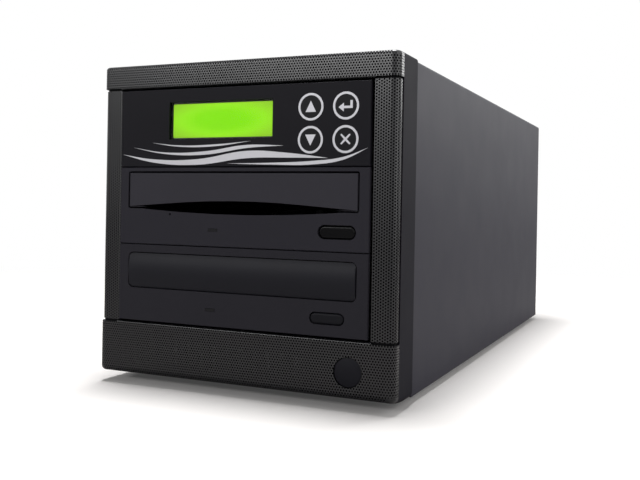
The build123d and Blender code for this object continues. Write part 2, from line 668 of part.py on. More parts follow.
with BuildPart() as controller_panel:
    with BuildSketch(upright(FRONT_Y)):
        with Locations((0, CONTROL_Z + PANEL_MID_Z)):
            Rectangle(PANEL_W, PANEL_H)
    extrude(amount=-PANEL_T)
    chamfer(controller_panel.faces().sort_by(Axis.Y)[0].edges(), EDGE_SOFT)
    with BuildSketch(upright(FRONT_Y)):
        with Locations((WINDOW_X, CONTROL_Z + WINDOW_Z)):
            Rectangle(WINDOW_W, WINDOW_H)
        with Locations(*[(x, CONTROL_Z + z) for x in KEY_X for z in KEY_Z]):
            Circle(KEY_R + KEY_GAP)
    extrude(amount=-PANEL_T, mode=Mode.SUBTRACT)
    with BuildSketch(upright(FRONT_Y + WINDOW_STEP)):
        with Locations((WINDOW_X, CONTROL_Z + WINDOW_Z)):
            Rectangle(WINDOW_W + 2 * WINDOW_LEDGE, WINDOW_H + 2 * WINDOW_LEDGE)
    extrude(amount=-PANEL_T, mode=Mode.SUBTRACT)
    for side in (-1, 1):
        outer = side * (SLED_HALF - SLED_T - SHEET_GAP)
        inner = outer - side * ARM_T
        slab(
            min(outer, inner), max(outer, inner), PANEL_REAR_Y, PANEL_REAR_Y + ARM_DEPTH,
            CONTROL_Z + FRONT_BOARD_Z[0], CONTROL_Z + SLED_H,
        )
    for post_x, post_z in FRONT_POSTS:
        peg(post_x, PANEL_REAR_Y, FRONT_BOARD_Y, CONTROL_Z + post_z, POST_R)
save(controller_panel, "controller_panel")

LENS_Y = FRONT_Y + WINDOW_STEP + RUNNING_GAP
with BuildPart() as lcd_window:
    half_w = WINDOW_W / 2 + WINDOW_LEDGE - SHEET_GAP
    half_h = WINDOW_H / 2 + WINDOW_LEDGE - SHEET_GAP
    slab(
        WINDOW_X - half_w, WINDOW_X + half_w, LENS_Y, LENS_Y + LENS_T,
        CONTROL_Z + WINDOW_Z - half_h, CONTROL_Z + WINDOW_Z + half_h,
    )
save(lcd_window, "lcd_window")

LCD_FRAME_W = 71.0
LCD_FRAME_H = 26.0
LCD_VIEW_W = 61.6
LCD_VIEW_H = 18.6
LCD_VIEW_STEP = 0.6
LCD_Y = PANEL_REAR_Y + SHEET_GAP

with BuildPart() as lcd_module:
    with BuildSketch(upright(LCD_Y)):
        with Locations((WINDOW_X, CONTROL_Z + WINDOW_Z)):
            Rectangle(LCD_FRAME_W, LCD_FRAME_H)
    extrude(amount=LCD_Y - FRONT_BOARD_Y)
    with BuildSketch(upright(LCD_Y)):
        with Locations((WINDOW_X, CONTROL_Z + WINDOW_Z)):
            Rectangle(LCD_VIEW_W, LCD_VIEW_H)
    extrude(amount=-LCD_VIEW_STEP, mode=Mode.SUBTRACT)
save(lcd_module, "lcd_module")

KEY_FLANGE_Y = PANEL_REAR_Y + SHEET_GAP
KEY_STEM_R = 2.0
TACT_SIDE = 6.0
TACT_DEPTH = 3.5
TACT_PLUNGER_R = 1.7
TACT_PLUNGER = 0.3
TACT_Y = FRONT_BOARD_Y - TACT_DEPTH
KEY_STEM_END = TACT_Y - TACT_PLUNGER - KEY_TRAVEL - RUNNING_GAP

with BuildPart() as front_board:
    slab(
        FRONT_BOARD_X[0], FRONT_BOARD_X[1], FRONT_BOARD_Y, FRONT_BOARD_Y + BOARD_T,
        CONTROL_Z + FRONT_BOARD_Z[0], CONTROL_Z + FRONT_BOARD_Z[1],
    )
    for key_x in KEY_X:
        for key_z in KEY_Z:
            tact_z = CONTROL_Z + key_z
            slab(
                key_x - TACT_SIDE / 2, key_x + TACT_SIDE / 2, TACT_Y, FRONT_BOARD_Y,
                tact_z - TACT_SIDE / 2, tact_z + TACT_SIDE / 2,
            )
            peg(key_x, TACT_Y - TACT_PLUNGER, TACT_Y, tact_z, TACT_PLUNGER_R)
save(front_board, "front_board")

KEYS = {
    "key_up": (KEY_X[0], KEY_Z[0]),
    "key_down": (KEY_X[0], KEY_Z[1]),
    "key_enter": (KEY_X[1], KEY_Z[0]),
    "key_escape": (KEY_X[1], KEY_Z[1]),
}
for key_name, (key_x, key_z) in KEYS.items():
    with BuildPart() as key:
        peg(key_x, FRONT_Y, KEY_FLANGE_Y, CONTROL_Z + key_z, KEY_R)
        peg(key_x, KEY_FLANGE_Y, KEY_FLANGE_Y + KEY_FLANGE, CONTROL_Z + key_z, KEY_R + KEY_FLANGE)
        peg(key_x, KEY_FLANGE_Y + KEY_FLANGE, KEY_STEM_END, CONTROL_Z + key_z, KEY_STEM_R)
    save(key, key_name)

CONTROL_BOARD_Y = (back(40.0), back(140.0))
CONTROL_BOARD_HALF = 62.0
STANDOFF_H = 4.6
STANDOFF_R = 2.5
SLED_FLOOR = CONTROL_Z + SLED_Z + SLED_T
CONTROL_BOARD_Z = SLED_FLOOR + STANDOFF_H
SOCKET_W = 16.0
SOCKET_D = 10.0
SOCKET_H = 6.0
CONTROL_SOCKETS_X = (-40.0, -20.0, 30.0, 50.0)  # two for data, one for power, one for the fan
SOCKET_BACK = CONTROL_BOARD_Y[1] + 2.0
RIBBON_HALF = 10.0
RIBBON_T = 0.8

with BuildPart() as controller_sled:
    slab(
        -SLED_HALF, SLED_HALF, PANEL_REAR_Y + SHEET_GAP, SLED_BACK,
        CONTROL_Z + SLED_Z, CONTROL_Z + SLED_Z + SLED_T,
    )
    for side in (-1, 1):
        outer = side * SLED_HALF
        inner = outer - side * SLED_T
        slab(
            min(outer, inner), max(outer, inner), PANEL_REAR_Y + SHEET_GAP, SLED_BACK,
            CONTROL_Z + SLED_Z, CONTROL_Z + SLED_H,
        )
    for screw_y in UNIT_SCREW_Y:
        cross_pin(
            -SLED_HALF - 1, SLED_HALF + 1, back(screw_y), CONTROL_Z + UNIT_SCREW_Z,
            M3_R + RUNNING_GAP, mode=Mode.SUBTRACT,
        )
    for standoff_x in (-CONTROL_BOARD_HALF + STANDOFF_R + 1, CONTROL_BOARD_HALF - STANDOFF_R - 1):
        for standoff_y in (CONTROL_BOARD_Y[0] + 5, CONTROL_BOARD_Y[1] - 15):
            post(standoff_x, standoff_y, SLED_FLOOR, CONTROL_BOARD_Z, STANDOFF_R)
save(controller_sled, "controller_sled")

with BuildPart() as controller_board:
    board_top = CONTROL_BOARD_Z + BOARD_T
    slab(
        -CONTROL_BOARD_HALF, CONTROL_BOARD_HALF, CONTROL_BOARD_Y[0], CONTROL_BOARD_Y[1],
        CONTROL_BOARD_Z, board_top,
    )
    for socket_x in CONTROL_SOCKETS_X:
        slab(
            socket_x - SOCKET_W / 2, socket_x + SOCKET_W / 2, SOCKET_BACK - SOCKET_D, SOCKET_BACK,
            board_top, board_top + SOCKET_H,
        )
    for chip_x, chip_y, chip_side in ((-20.0, 70.0, 28.0), (25.0, 62.0, 20.0), (22.0, 95.0, 14.0)):
        slab(
            chip_x - chip_side / 2, chip_x + chip_side / 2,
            back(chip_y) - chip_side / 2, back(chip_y) + chip_side / 2, board_top, board_top + 2,
        )
    for capacitor_x in (44.0, 54.0):
        for capacitor_y in (60.0, 74.0):
            post(capacitor_x, back(capacitor_y), board_top, board_top + 12, 4)
    slab(
        -RIBBON_HALF - 2, RIBBON_HALF + 2, CONTROL_BOARD_Y[0] + 2, CONTROL_BOARD_Y[0] + 6,
        board_top, board_top + SOCKET_H,
    )
save(controller_board, "controller_board")

# ================================================================ disc drives
MODULE = 2 * PINION_R / PINION_TEETH
PRESSURE = radians(20)
TOOTH_PITCH = pi * MODULE
ADDENDUM = 0.85 * MODULE
DEDENDUM = 1.2 * MODULE
TOOTH_HALF = TOOTH_SHARE * TOOTH_PITCH / 2
RACK_X = PINION_X + PINION_R  # pitch line of the rack
RACK_BACK_X = RACK_X + DEDENDUM
RACK_RAIL_W = 4.0
RACK_BOTTOM = TRAY_BOTTOM - 2.8
RACK_START = 8.0
SHELL_BASE = 0.6
SHELL_FRONT = PANEL_T
SHELL_BACK = PANEL_T + UNIT_DEPTH
SHELL_TOP = SHELL_BASE + UNIT_H
SHELL_FLOOR = SHELL_BASE + SHELL_T
UNIT_HALF = UNIT_W / 2
FRAME_START = 12.0
FRAME_END = 160.0
FRAME_INNER = FRAME_HALF_W - FRAME_WALL
DECK_TOP = DECK_Z + DECK_T
BRIDGE_Z = 35.5
BRIDGE_T = 1.0
BRIDGE_HALF = 10.0
CLAMP_R = 13.0
CLAMP_NECK_R = 5.0
TURNTABLE_TOP = 27.2
MOTOR_R = 14.0
MOTOR_TOP = 18.2
SPINDLE_TOP = 28.5
BLOCK_T = 3.0
ROD_START = 92.5
ROD_END = 157.0
BLOCK_TOP = 18.2
PINION_TOP = 23.5
PINION_BASE = PINION_TOP - 2.5
DRIVE_BOARD_Z = 3.0
DRIVE_BOARD_HALF = 60.0
DRIVE_BOARD_END = 168.0
DRIVE_SOCKETS_X = (-40.0, 15.0)  # data, power
DRIVE_SOCKET_H = 6.0
EJECT_SWITCH_Y = 12.0
EJECT_FLANGE = 0.8
TAB_Z = (8.0, 28.0)
TAB_H = 6.0
TAB_T = 1.1


def involute(angle):
    """The involute function of a pressure angle in radians."""
    return tan(angle) - angle


def pinion_tooth(turn):
    """Outline of one pinion tooth, from its root on one side over the tip to the other."""
    base_r = PINION_R * cos(PRESSURE)
    tip_r = PINION_R + ADDENDUM
    half_at_pitch = TOOTH_HALF / PINION_R
    flank = [(PINION_R - DEDENDUM, half_at_pitch + involute(PRESSURE))]
    for step in range(4):
        radius = base_r + (tip_r - base_r) * step / 3
        slope = sqrt(max(radius**2 - base_r**2, 0)) / base_r
        half = half_at_pitch + involute(PRESSURE) - (slope - atan(slope))
        flank.append((radius, half))
    low = [(r * cos(turn - a), r * sin(turn - a)) for r, a in flank]
    high = [(r * cos(turn + a), r * sin(turn + a)) for r, a in reversed(flank)]
    return low + high


def drive(which):
    """All pieces of one disc drive in its bay."""
    base = BAY_Z[which]

    def up(height):
        """Z of a place so far above the floor of this bay."""
        return base + height

    front_base = TRAY_FRONT_BASE[which]
    front_top = TRAY_FRONT_TOP[which]
    front_half = TRAY_FRONT_W / 2 - (TRAY_FRONT_GAP[which] if which == "lower" else 0)
    gap = TRAY_FRONT_GAP[which]
    corner = TRAY_FRONT_CORNER[which]
    arch = TRAY_ARCH if which == "upper" else 0

    def front_outline(grow):
        """Outline of the tray front, grown all round by a gap."""
        low = up(front_base - grow)
        high = up(front_top + grow)
        wide = front_half + grow
        with BuildSketch(upright(FRONT_Y)) as outline:
            with BuildLine():
                if arch:
                    Polyline(
                        (SCOOP_HALF, low), (wide, low), (wide, high), (-wide, high), (-wide, low),
                        (-SCOOP_HALF, low),
                    )
                    ThreePointArc((-SCOOP_HALF, low), (0, low + arch), (SCOOP_HALF, low))
                else:
                    Polyline(
                        (wide, low), (wide, high), (-wide, high), (-wide, low), close=True
                    )
            make_face()
            fillet(
                outline.vertices().filter_by(lambda v: abs(v.X) > SCOOP_HALF + 1), corner + grow
            )
        return outline.sketch

    # ---- plastic front with its openings
    opening = front_outline(gap)
    with BuildPart() as bezel:
        with BuildSketch(upright(FRONT_Y)) as face:
            with Locations((0, up(PANEL_MID_Z))):
                Rectangle(PANEL_W, PANEL_H)
        extrude(face.sketch, amount=-PANEL_T)
        chamfer(bezel.faces().sort_by(Axis.Y)[0].edges(), EDGE_SOFT)
        extrude(opening, amount=-PANEL_T, mode=Mode.SUBTRACT)
        with BuildSketch(upright(FRONT_Y)) as holes:
            with Locations((EJECT_X[which], up(EJECT_Z[which]))):
                SlotOverall(EJECT_W[which] + 2 * EJECT_GAP, EJECT_H[which] + 2 * EJECT_GAP)
            with Locations((LED_X[which], up(LED_Z))):
                Rectangle(LED_W + 2 * SHEET_GAP, LED_H + 2 * SHEET_GAP)
            if which == "upper":
                with Locations((PINHOLE_X, up(PINHOLE_Z))):
                    Circle(PINHOLE_R)
        extrude(holes.sketch, amount=-PANEL_T, mode=Mode.SUBTRACT)
        if arch:
            low = up(front_base - gap)
            with BuildSketch(upright(FRONT_Y)) as scoop:
                with BuildLine():
                    ThreePointArc((-SCOOP_HALF, low), (0, low + arch), (SCOOP_HALF, low))
                    ThreePointArc((SCOOP_HALF, low), (0, low - SCOOP_DROP), (-SCOOP_HALF, low))
                make_face()
            extrude(scoop.sketch, amount=-PANEL_T, mode=Mode.SUBTRACT)
        for side in (-1, 1):
            outer = side * (UNIT_HALF - SHELL_T - SHEET_GAP)
            inner = outer - side * TAB_T
            for tab_z in TAB_Z:
                slab(
                    min(outer, inner), max(outer, inner), PANEL_REAR_Y, back(FRAME_START),
                    up(tab_z), up(tab_z + TAB_H),
                )
    save(bezel, f"{which}_drive_bezel")

    # ---- tray front
    with BuildPart() as tray_front:
        extrude(front_outline(0), amount=-PANEL_T)
        if arch:
            chamfer(tray_front.faces().sort_by(Axis.Y)[0].edges(), EDGE_SOFT)
        else:
            with BuildSketch(side_on(-front_half)) as crown:
                with BuildLine():
                    ThreePointArc(
                        (FRONT_Y + TRAY_BULGE, up(front_base)),
                        (FRONT_Y - TRAY_BULGE, up((front_base + front_top) / 2)),
                        (FRONT_Y + TRAY_BULGE, up(front_top)),
                    )
                    Polyline(
                        (FRONT_Y + TRAY_BULGE, up(front_top)), (PANEL_REAR_Y, up(front_top)),
                        (PANEL_REAR_Y, up(front_base)), (FRONT_Y + TRAY_BULGE, up(front_base)),
                    )
                make_face()
            extrude(front_outline(0), amount=2 * TRAY_BULGE)
            extrude(crown.sketch, amount=2 * front_half, mode=Mode.INTERSECT)
    save(tray_front, f"{which}_tray_front")

    # ---- tray with its disc recesses, spindle slot and rack
    with BuildPart() as tray:
        slab(
            -TRAY_HALF_W, TRAY_HALF_W, PANEL_REAR_Y, back(TRAY_END),
            up(TRAY_BOTTOM), up(TRAY_BOTTOM + TRAY_T),
        )
        with BuildSketch(level(up(TRAY_BOTTOM + TRAY_T))) as large_recess:
            with Locations((0, back(DISC_Y))):
                Circle(DISC_R + 0.7)
        extrude(large_recess.sketch, amount=-2, mode=Mode.SUBTRACT)
        with BuildSketch(level(up(TRAY_BOTTOM + TRAY_T - 2))) as small_recess:
            with Locations((0, back(DISC_Y))):
                Circle(SMALL_DISC_R + 0.7)
        extrude(small_recess.sketch, amount=-0.8, mode=Mode.SUBTRACT)
        post(
            0, back(DISC_Y), up(TRAY_BOTTOM - 1), up(TRAY_BOTTOM + TRAY_T + 1), TRAY_SLOT_HALF,
            mode=Mode.SUBTRACT,
        )
        slab(
            -TRAY_SLOT_HALF, TRAY_SLOT_HALF, back(DISC_Y), back(TRAY_END + 1),
            up(TRAY_BOTTOM - 1), up(TRAY_BOTTOM + TRAY_T + 1), mode=Mode.SUBTRACT,
        )
        slab(
            RACK_BACK_X, RACK_BACK_X + RACK_RAIL_W, back(RACK_START), back(TRAY_END),
            up(RACK_BOTTOM), up(TRAY_BOTTOM),
        )
        tooth_count = int((TRAY_END - PINION_Y) / TOOTH_PITCH)
        first_tooth = -int((PINION_Y - RACK_START) / TOOTH_PITCH)
        root_half = TOOTH_HALF + DEDENDUM * tan(PRESSURE)
        tip_half = TOOTH_HALF - ADDENDUM * tan(PRESSURE)
        with BuildSketch(level(up(RACK_BOTTOM))) as rack:
            for tooth in range(first_tooth, tooth_count):
                tooth_y = back(PINION_Y + (tooth + 0.5) * TOOTH_PITCH)
                with BuildLine():
                    Polyline(
                        (RACK_BACK_X, tooth_y - root_half),
                        (RACK_X - ADDENDUM, tooth_y - tip_half),
                        (RACK_X - ADDENDUM, tooth_y + tip_half),
                        (RACK_BACK_X, tooth_y + root_half),
                        close=True,
                    )
                make_face()
        extrude(rack.sketch, amount=TRAY_BOTTOM - RACK_BOTTOM)
    save(tray, f"{which}_tray")

    # ---- pinion that drives the rack
    with BuildPart() as pinion:
        with BuildSketch(level(up(PINION_BASE))) as gear:
            with Locations((PINION_X, back(PINION_Y))):
                Circle(PINION_R - DEDENDUM + 0.01)
            for tooth in range(PINION_TEETH):
                outline = pinion_tooth(2 * pi * tooth / PINION_TEETH)
                places = [(PINION_X + x, back(PINION_Y) + y) for x, y in outline]
                with BuildLine():
                    Polyline(*places, close=True)
                make_face()
            with Locations((PINION_X, back(PINION_Y))):
                Circle(PIN_R + RUNNING_GAP, mode=Mode.SUBTRACT)
        extrude(gear.sketch, amount=PINION_TOP - PINION_BASE)
    save(pinion, f"{which}_pinion")

    # ---- eject button
    with BuildPart() as eject:
        with BuildSketch(upright(FRONT_Y + EJECT_BACK[which])) as cap:
            with Locations((EJECT_X[which], up(EJECT_Z[which]))):
                SlotOverall(EJECT_W[which], EJECT_H[which])
        extrude(cap.sketch, amount=-(PANEL_T + SHEET_GAP - EJECT_BACK[which]))
        with BuildSketch(upright(PANEL_REAR_Y + SHEET_GAP)) as flange:
            with Locations((EJECT_X[which], up(EJECT_Z[which]))):
                SlotOverall(
                    EJECT_W[which] + 2 * (EJECT_GAP + EJECT_FLANGE),
                    EJECT_H[which] + 2 * (EJECT_GAP + EJECT_FLANGE),
                )
        extrude(flange.sketch, amount=-EJECT_FLANGE)
        peg(
            EJECT_X[which], PANEL_REAR_Y + SHEET_GAP + EJECT_FLANGE,
            back(EJECT_SWITCH_Y - EJECT_TRAVEL) - RUNNING_GAP, up(EJECT_Z[which]), KEY_STEM_R,
        )
    save(eject, f"{which}_eject_button")

    # ---- steel shell
    with BuildPart() as shell:
        slab(
            -UNIT_HALF, UNIT_HALF, back(SHELL_FRONT), back(SHELL_BACK),
            up(SHELL_BASE), up(SHELL_TOP),
        )
        slab(
            -UNIT_HALF + SHELL_T, UNIT_HALF - SHELL_T, back(SHELL_FRONT) - 1,
            back(SHELL_BACK - SHELL_T), up(SHELL_FLOOR), up(SHELL_TOP - SHELL_T),
            mode=Mode.SUBTRACT,
        )
        slab(
            -DRIVE_BOARD_HALF, DRIVE_BOARD_HALF, back(SHELL_BACK - SHELL_T - 1), back(SHELL_BACK + 1),
            up(DRIVE_BOARD_Z - 1), up(DRIVE_BOARD_Z + BOARD_T + DRIVE_SOCKET_H + 1),
            mode=Mode.SUBTRACT,
        )
        for screw_y in UNIT_SCREW_Y:
            cross_pin(
                -UNIT_HALF - 1, UNIT_HALF + 1, back(screw_y), up(UNIT_SCREW_Z),
                M3_R + RUNNING_GAP, mode=Mode.SUBTRACT,
            )
        for boss_x in (-DRIVE_BOARD_HALF + 4, DRIVE_BOARD_HALF - 4):
            for boss_y in (FRAME_START + 8, DRIVE_BOARD_END - 8):
                post(boss_x, back(boss_y), up(SHELL_FLOOR), up(DRIVE_BOARD_Z), STANDOFF_R)
    save(shell, f"{which}_drive_shell")

    # ---- loader frame: side walls, deck, motors' seats and the bridge over the disc
    with BuildPart() as frame:
        for side in (-1, 1):
            outer = side * FRAME_HALF_W
            inner = side * FRAME_INNER
            ledge = side * (TRAY_HALF_W - 4)
            slab(
                min(outer, inner), max(outer, inner), back(FRAME_START), back(FRAME_END),
                up(SHELL_FLOOR), up(BRIDGE_Z + BRIDGE_T),
            )
            for ledge_z in (TRAY_BOTTOM - 2, TRAY_BOTTOM + TRAY_T + 0.5):
                slab(
                    min(inner, ledge), max(inner, ledge), back(FRAME_START), back(DISC_Y - 18),
                    up(ledge_z), up(ledge_z + 1.6),
                )
        slab(
            -FRAME_INNER, FRAME_INNER, back(FRAME_START), back(FRAME_END), up(DECK_Z), up(DECK_TOP)
        )
        slab(
            PINION_X + 5, FRAME_INNER, back(FRAME_START) - 1, back(FRAME_START + 10),
            up(DECK_Z - 1), up(DECK_TOP + 1), mode=Mode.SUBTRACT,
        )
        slab(
            -FRAME_INNER, FRAME_INNER, back(DISC_Y - BRIDGE_HALF), back(DISC_Y + BRIDGE_HALF),
            up(BRIDGE_Z), up(BRIDGE_Z + BRIDGE_T),
        )
        post(
            0, back(DISC_Y), up(BRIDGE_Z - 1), up(BRIDGE_Z + BRIDGE_T + 1), CLAMP_NECK_R + 0.3,
            mode=Mode.SUBTRACT,
        )
        post(0, back(DISC_Y), up(DECK_TOP), up(MOTOR_TOP), MOTOR_R)
        post(0, back(DISC_Y), up(MOTOR_TOP), up(SPINDLE_TOP), PIN_R)
        post(PINION_X, back(PINION_Y), up(DECK_TOP), up(PINION_BASE - SHEET_GAP), 2 * PIN_R)
        post(PINION_X, back(PINION_Y), up(PINION_BASE - SHEET_GAP), up(TRAY_BOTTOM - 0.3), PIN_R)
        for block_y in (ROD_START, ROD_END - BLOCK_T):
            slab(
                -ROD_X - 4, SCREW_X + 4, back(block_y), back(block_y + BLOCK_T),
                up(DECK_TOP), up(BLOCK_TOP),
            )
        peg(SCREW_X, back(ROD_END), back(ROD_END + 7), up(ROD_Z), 5.0)
        for rod_x in (-ROD_X, ROD_X, SCREW_X):
            peg(
                rod_x, back(ROD_START + 0.5), back(ROD_END - 0.5), up(ROD_Z), ROD_R + RUNNING_GAP,
                mode=Mode.SUBTRACT,
            )
    save(frame, f"{which}_loader_frame")

    # ---- turntable, and the clamp that holds the disc from above
    with BuildPart() as turntable:
        bore = PIN_R + RUNNING_GAP
        with BuildSketch(upright(back(DISC_Y))) as section:
            with BuildLine():
                Polyline(
                    (bore, up(MOTOR_TOP + 0.3)), (TURNTABLE_R, up(MOTOR_TOP + 0.3)),
                    (TURNTABLE_R, up(MOTOR_TOP + 2)), (8, up(MOTOR_TOP + 2.6)),
                    (8, up(TURNTABLE_TOP - 1.6)), (TURNTABLE_R, up(TURNTABLE_TOP - 1.6)),
                    (TURNTABLE_R, up(TURNTABLE_TOP)), (7.4, up(TURNTABLE_TOP)),
                    (6, up(TURNTABLE_TOP + 2.2)), (bore, up(TURNTABLE_TOP + 2.2)), close=True,
                )
            make_face()
        revolve(section.sketch, axis=Axis((0, back(DISC_Y), 0), (0, 0, 1)))
    save(turntable, f"{which}_turntable")
    with BuildPart() as clamp:
        post(0, back(DISC_Y), up(BRIDGE_Z - 4.3), up(BRIDGE_Z - 1), CLAMP_R)
        post(0, back(DISC_Y), up(BRIDGE_Z - 1), up(BRIDGE_Z + BRIDGE_T + 0.1), CLAMP_NECK_R)
        post(
            0, back(DISC_Y), up(BRIDGE_Z + BRIDGE_T + 0.1), up(BRIDGE_Z + BRIDGE_T + 1.1),
            CLAMP_NECK_R + 2,
        )
    save(clamp, f"{which}_disc_clamp")

    # ---- laser pickup on its rods, and the screw that moves it
    pickup_y = DISC_Y + PICKUP_REST
    with BuildPart() as pickup:
        slab(
            -ROD_X - 4, SCREW_X - ROD_R - 2, back(pickup_y - PICKUP_HALF), back(pickup_y + PICKUP_HALF),
            up(DECK_TOP + 0.6), up(BLOCK_TOP + 0.4),
        )
        slab(
            SCREW_X - ROD_R - 2, SCREW_X - ROD_R - 0.3, back(pickup_y - 3), back(pickup_y + 3),
            up(ROD_Z - 1), up(ROD_Z + 1),
        )
        post(0, back(pickup_y), up(BLOCK_TOP + 0.4), up(TRAY_BOTTOM + 1), 5.5)
        post(0, back(pickup_y), up(TRAY_BOTTOM + 1), up(TRAY_BOTTOM + 1.8), 2.5)
        for rod_x in (-ROD_X, ROD_X):
            peg(
                rod_x, back(pickup_y - PICKUP_HALF - 1), back(pickup_y + PICKUP_HALF + 1),
                up(ROD_Z), ROD_R + RUNNING_GAP, mode=Mode.SUBTRACT,
            )
    save(pickup, f"{which}_pickup")
    with BuildPart() as lead_screw:
        peg(SCREW_X, back(ROD_START + 1), back(ROD_END - 1), up(ROD_Z), ROD_R)
    save(lead_screw, f"{which}_lead_screw")


for which_drive in ("upper", "lower"):
    drive(which_drive)

with BuildPart() as guide_rods:
    for bay in ("upper", "lower"):
        for rod_x in (-ROD_X, ROD_X):
            peg(rod_x, back(ROD_START + 1), back(ROD_END - 1), BAY_Z[bay] + ROD_Z, ROD_R)
save(guide_rods, "guide_rods")

with BuildPart() as led_lenses:
    for bay in ("upper", "lower"):
        slab(
            LED_X[bay] - LED_W / 2, LED_X[bay] + LED_W / 2, FRONT_Y, back(EJECT_SWITCH_Y) - SHEET_GAP,
            BAY_Z[bay] + LED_Z - LED_H / 2, BAY_Z[bay] + LED_Z + LED_H / 2,
        )
save(led_lenses, "led_lenses")

with BuildPart() as drive_boards:
    for bay in ("upper", "lower"):
        board_base = BAY_Z[bay] + DRIVE_BOARD_Z
        board_top = board_base + BOARD_T
        slab(
            -DRIVE_BOARD_HALF, DRIVE_BOARD_HALF, back(EJECT_SWITCH_Y), back(DRIVE_BOARD_END),
            board_base, board_top,
        )
        slab(
            EJECT_X[bay] - 3, EJECT_X[bay] + 3, back(EJECT_SWITCH_Y), back(EJECT_SWITCH_Y + 6),
            board_top, BAY_Z[bay] + EJECT_Z[bay] + 3,
        )
        slab(
            LED_X[bay] - 2.5, LED_X[bay] + 2.5, back(EJECT_SWITCH_Y), back(EJECT_SWITCH_Y + 4),
            board_top, BAY_Z[bay] + DECK_Z - 0.2,
        )
        for socket_x in DRIVE_SOCKETS_X:
            slab(
                socket_x - SOCKET_W / 2, socket_x + SOCKET_W / 2,
                back(FRAME_END + SHEET_GAP), back(SHELL_BACK + 0.4),
                board_top, board_top + DRIVE_SOCKET_H - 1,
            )
save(drive_boards, "drive_boards")

# ================================================================ power supply
PSU_T = 0.8
PSU_TOP = PSU_BASE + PSU_H
PSU_MID_Z = PSU_BASE + PSU_H / 2
PSU_INNER_BACK = PSU_BACK_Y - PSU_T
INLET_FLANGE = 1.5
INLET_FLANGE_OUT = 2.0
INLET_MID_Z = PSU_BASE + INLET_Z
ROCKER_MID_Z = PSU_BASE + ROCKER_Z
SWITCH_BODY_W = ROCKER_W + 0.8
SWITCH_BODY_H = ROCKER_H + 2.4
LEAD_EXIT_X = PSU_HALF - 35.0
LEAD_EXIT_Z = PSU_TOP - 16.0
LEAD_EXIT_R = 9.0
PSU_BOARD_Z = PSU_BASE + PSU_T + 5.0
PSU_BOARD_HALF = PSU_HALF - 9.0
PSU_BOARD_Y = (PSU_FRONT_Y + 8.0, PSU_BACK_Y - 34.0)
VENT_COUNT = 9
VENT_PITCH = 7.0
VENT_W = 3.0

with BuildPart() as psu_case:
    slab(-PSU_HALF, PSU_HALF, PSU_FRONT_Y, PSU_BACK_Y, PSU_BASE, PSU_TOP)
    slab(
        -PSU_HALF + PSU_T, PSU_HALF - PSU_T, PSU_FRONT_Y + PSU_T, PSU_INNER_BACK,
        PSU_BASE + PSU_T, PSU_TOP - PSU_T, mode=Mode.SUBTRACT,
    )
    grille(PSU_FAN / 2 - 2, PSU_FAN_X, PSU_MID_Z, PSU_INNER_BACK, PSU_BACK_Y, GRILLE_RING, GRILLE_GAP)
    for middle_z, wide, high in (
        (INLET_MID_Z, INLET_W, INLET_H),
        (ROCKER_MID_Z, SWITCH_BODY_W, SWITCH_BODY_H),
    ):
        slab(
            INLET_X - wide / 2 - SHEET_GAP, INLET_X + wide / 2 + SHEET_GAP,
            PSU_INNER_BACK - 1, PSU_BACK_Y + 1,
            middle_z - high / 2 - SHEET_GAP, middle_z + high / 2 + SHEET_GAP, mode=Mode.SUBTRACT,
        )
    for screw_x, screw_z in psu_screw_places:
        peg(
            screw_x, PSU_INNER_BACK - 1, PSU_BACK_Y + 1, screw_z, CASE_R + RUNNING_GAP,
            mode=Mode.SUBTRACT,
        )
    for vent in range(VENT_COUNT):
        vent_x = (vent - VENT_COUNT + 1) * VENT_PITCH
        slab(
            vent_x - VENT_W / 2, vent_x + VENT_W / 2, PSU_FRONT_Y - 1, PSU_FRONT_Y + 2,
            PSU_BASE + 20, PSU_TOP - 20, mode=Mode.SUBTRACT,
        )
    for standoff_x in (-PSU_BOARD_HALF + 4, PSU_BOARD_HALF - 4):
        for standoff_y in (PSU_BOARD_Y[0] + 4, PSU_BOARD_Y[1] - 4):
            post(standoff_x, standoff_y, PSU_BASE + PSU_T, PSU_BOARD_Z, STANDOFF_R)
save(psu_case, "psu_case")

with BuildPart() as psu_board:
    board_top = PSU_BOARD_Z + BOARD_T
    slab(-PSU_BOARD_HALF, PSU_BOARD_HALF, PSU_BOARD_Y[0], PSU_BOARD_Y[1], PSU_BOARD_Z, board_top)
    # two heat sinks with fins, the transformer, a coil and the two large capacitors
    for sink_x in (-26.0, 22.0):
        slab(
            sink_x - 2, sink_x + 2, PSU_BOARD_Y[0] + 10, PSU_BOARD_Y[1] - 8, board_top, board_top + 50
        )
        for fin in range(5):
            fin_z = board_top + 46 - fin * 6
            slab(
                sink_x - 8, sink_x + 8, PSU_BOARD_Y[0] + 10, PSU_BOARD_Y[1] - 8, fin_z - 1, fin_z + 1
            )
    slab(-8, 8, PSU_BOARD_Y[0] + 20, PSU_BOARD_Y[0] + 56, board_top, board_top + 32)
    for capacitor_y in (PSU_BOARD_Y[0] + 20, PSU_BOARD_Y[0] + 48):
        post(-50, capacitor_y, board_top, board_top + 36, 11)
    post(48, PSU_BOARD_Y[0] + 34, board_top, board_top + 16, 12)
save(psu_board, "psu_board")

CAVITY_W = 24.2
CAVITY_H = 16.4
CAVITY_DEPTH = 17.0
CAVITY_CORNER = 4.5
MAINS_PIN_W = 2.0
MAINS_PIN_H = 4.0
MAINS_PIN_L = 12.4
MAINS_PIN_X = 7.0
MAINS_PIN_Z = 2.0
TERMINAL_L = 8.0
INLET_FACE_Y = PSU_BACK_Y + INLET_FLANGE
ROCKER_AXIS_Y = INLET_FACE_Y - 3.2
WELL_HALF_W = 8.8
WELL_HALF_H = 6.75
WELL_DEPTH = 8.0
ROCKER_PIN_R = 1.2
SWITCH_BODY_DEPTH = 14.0

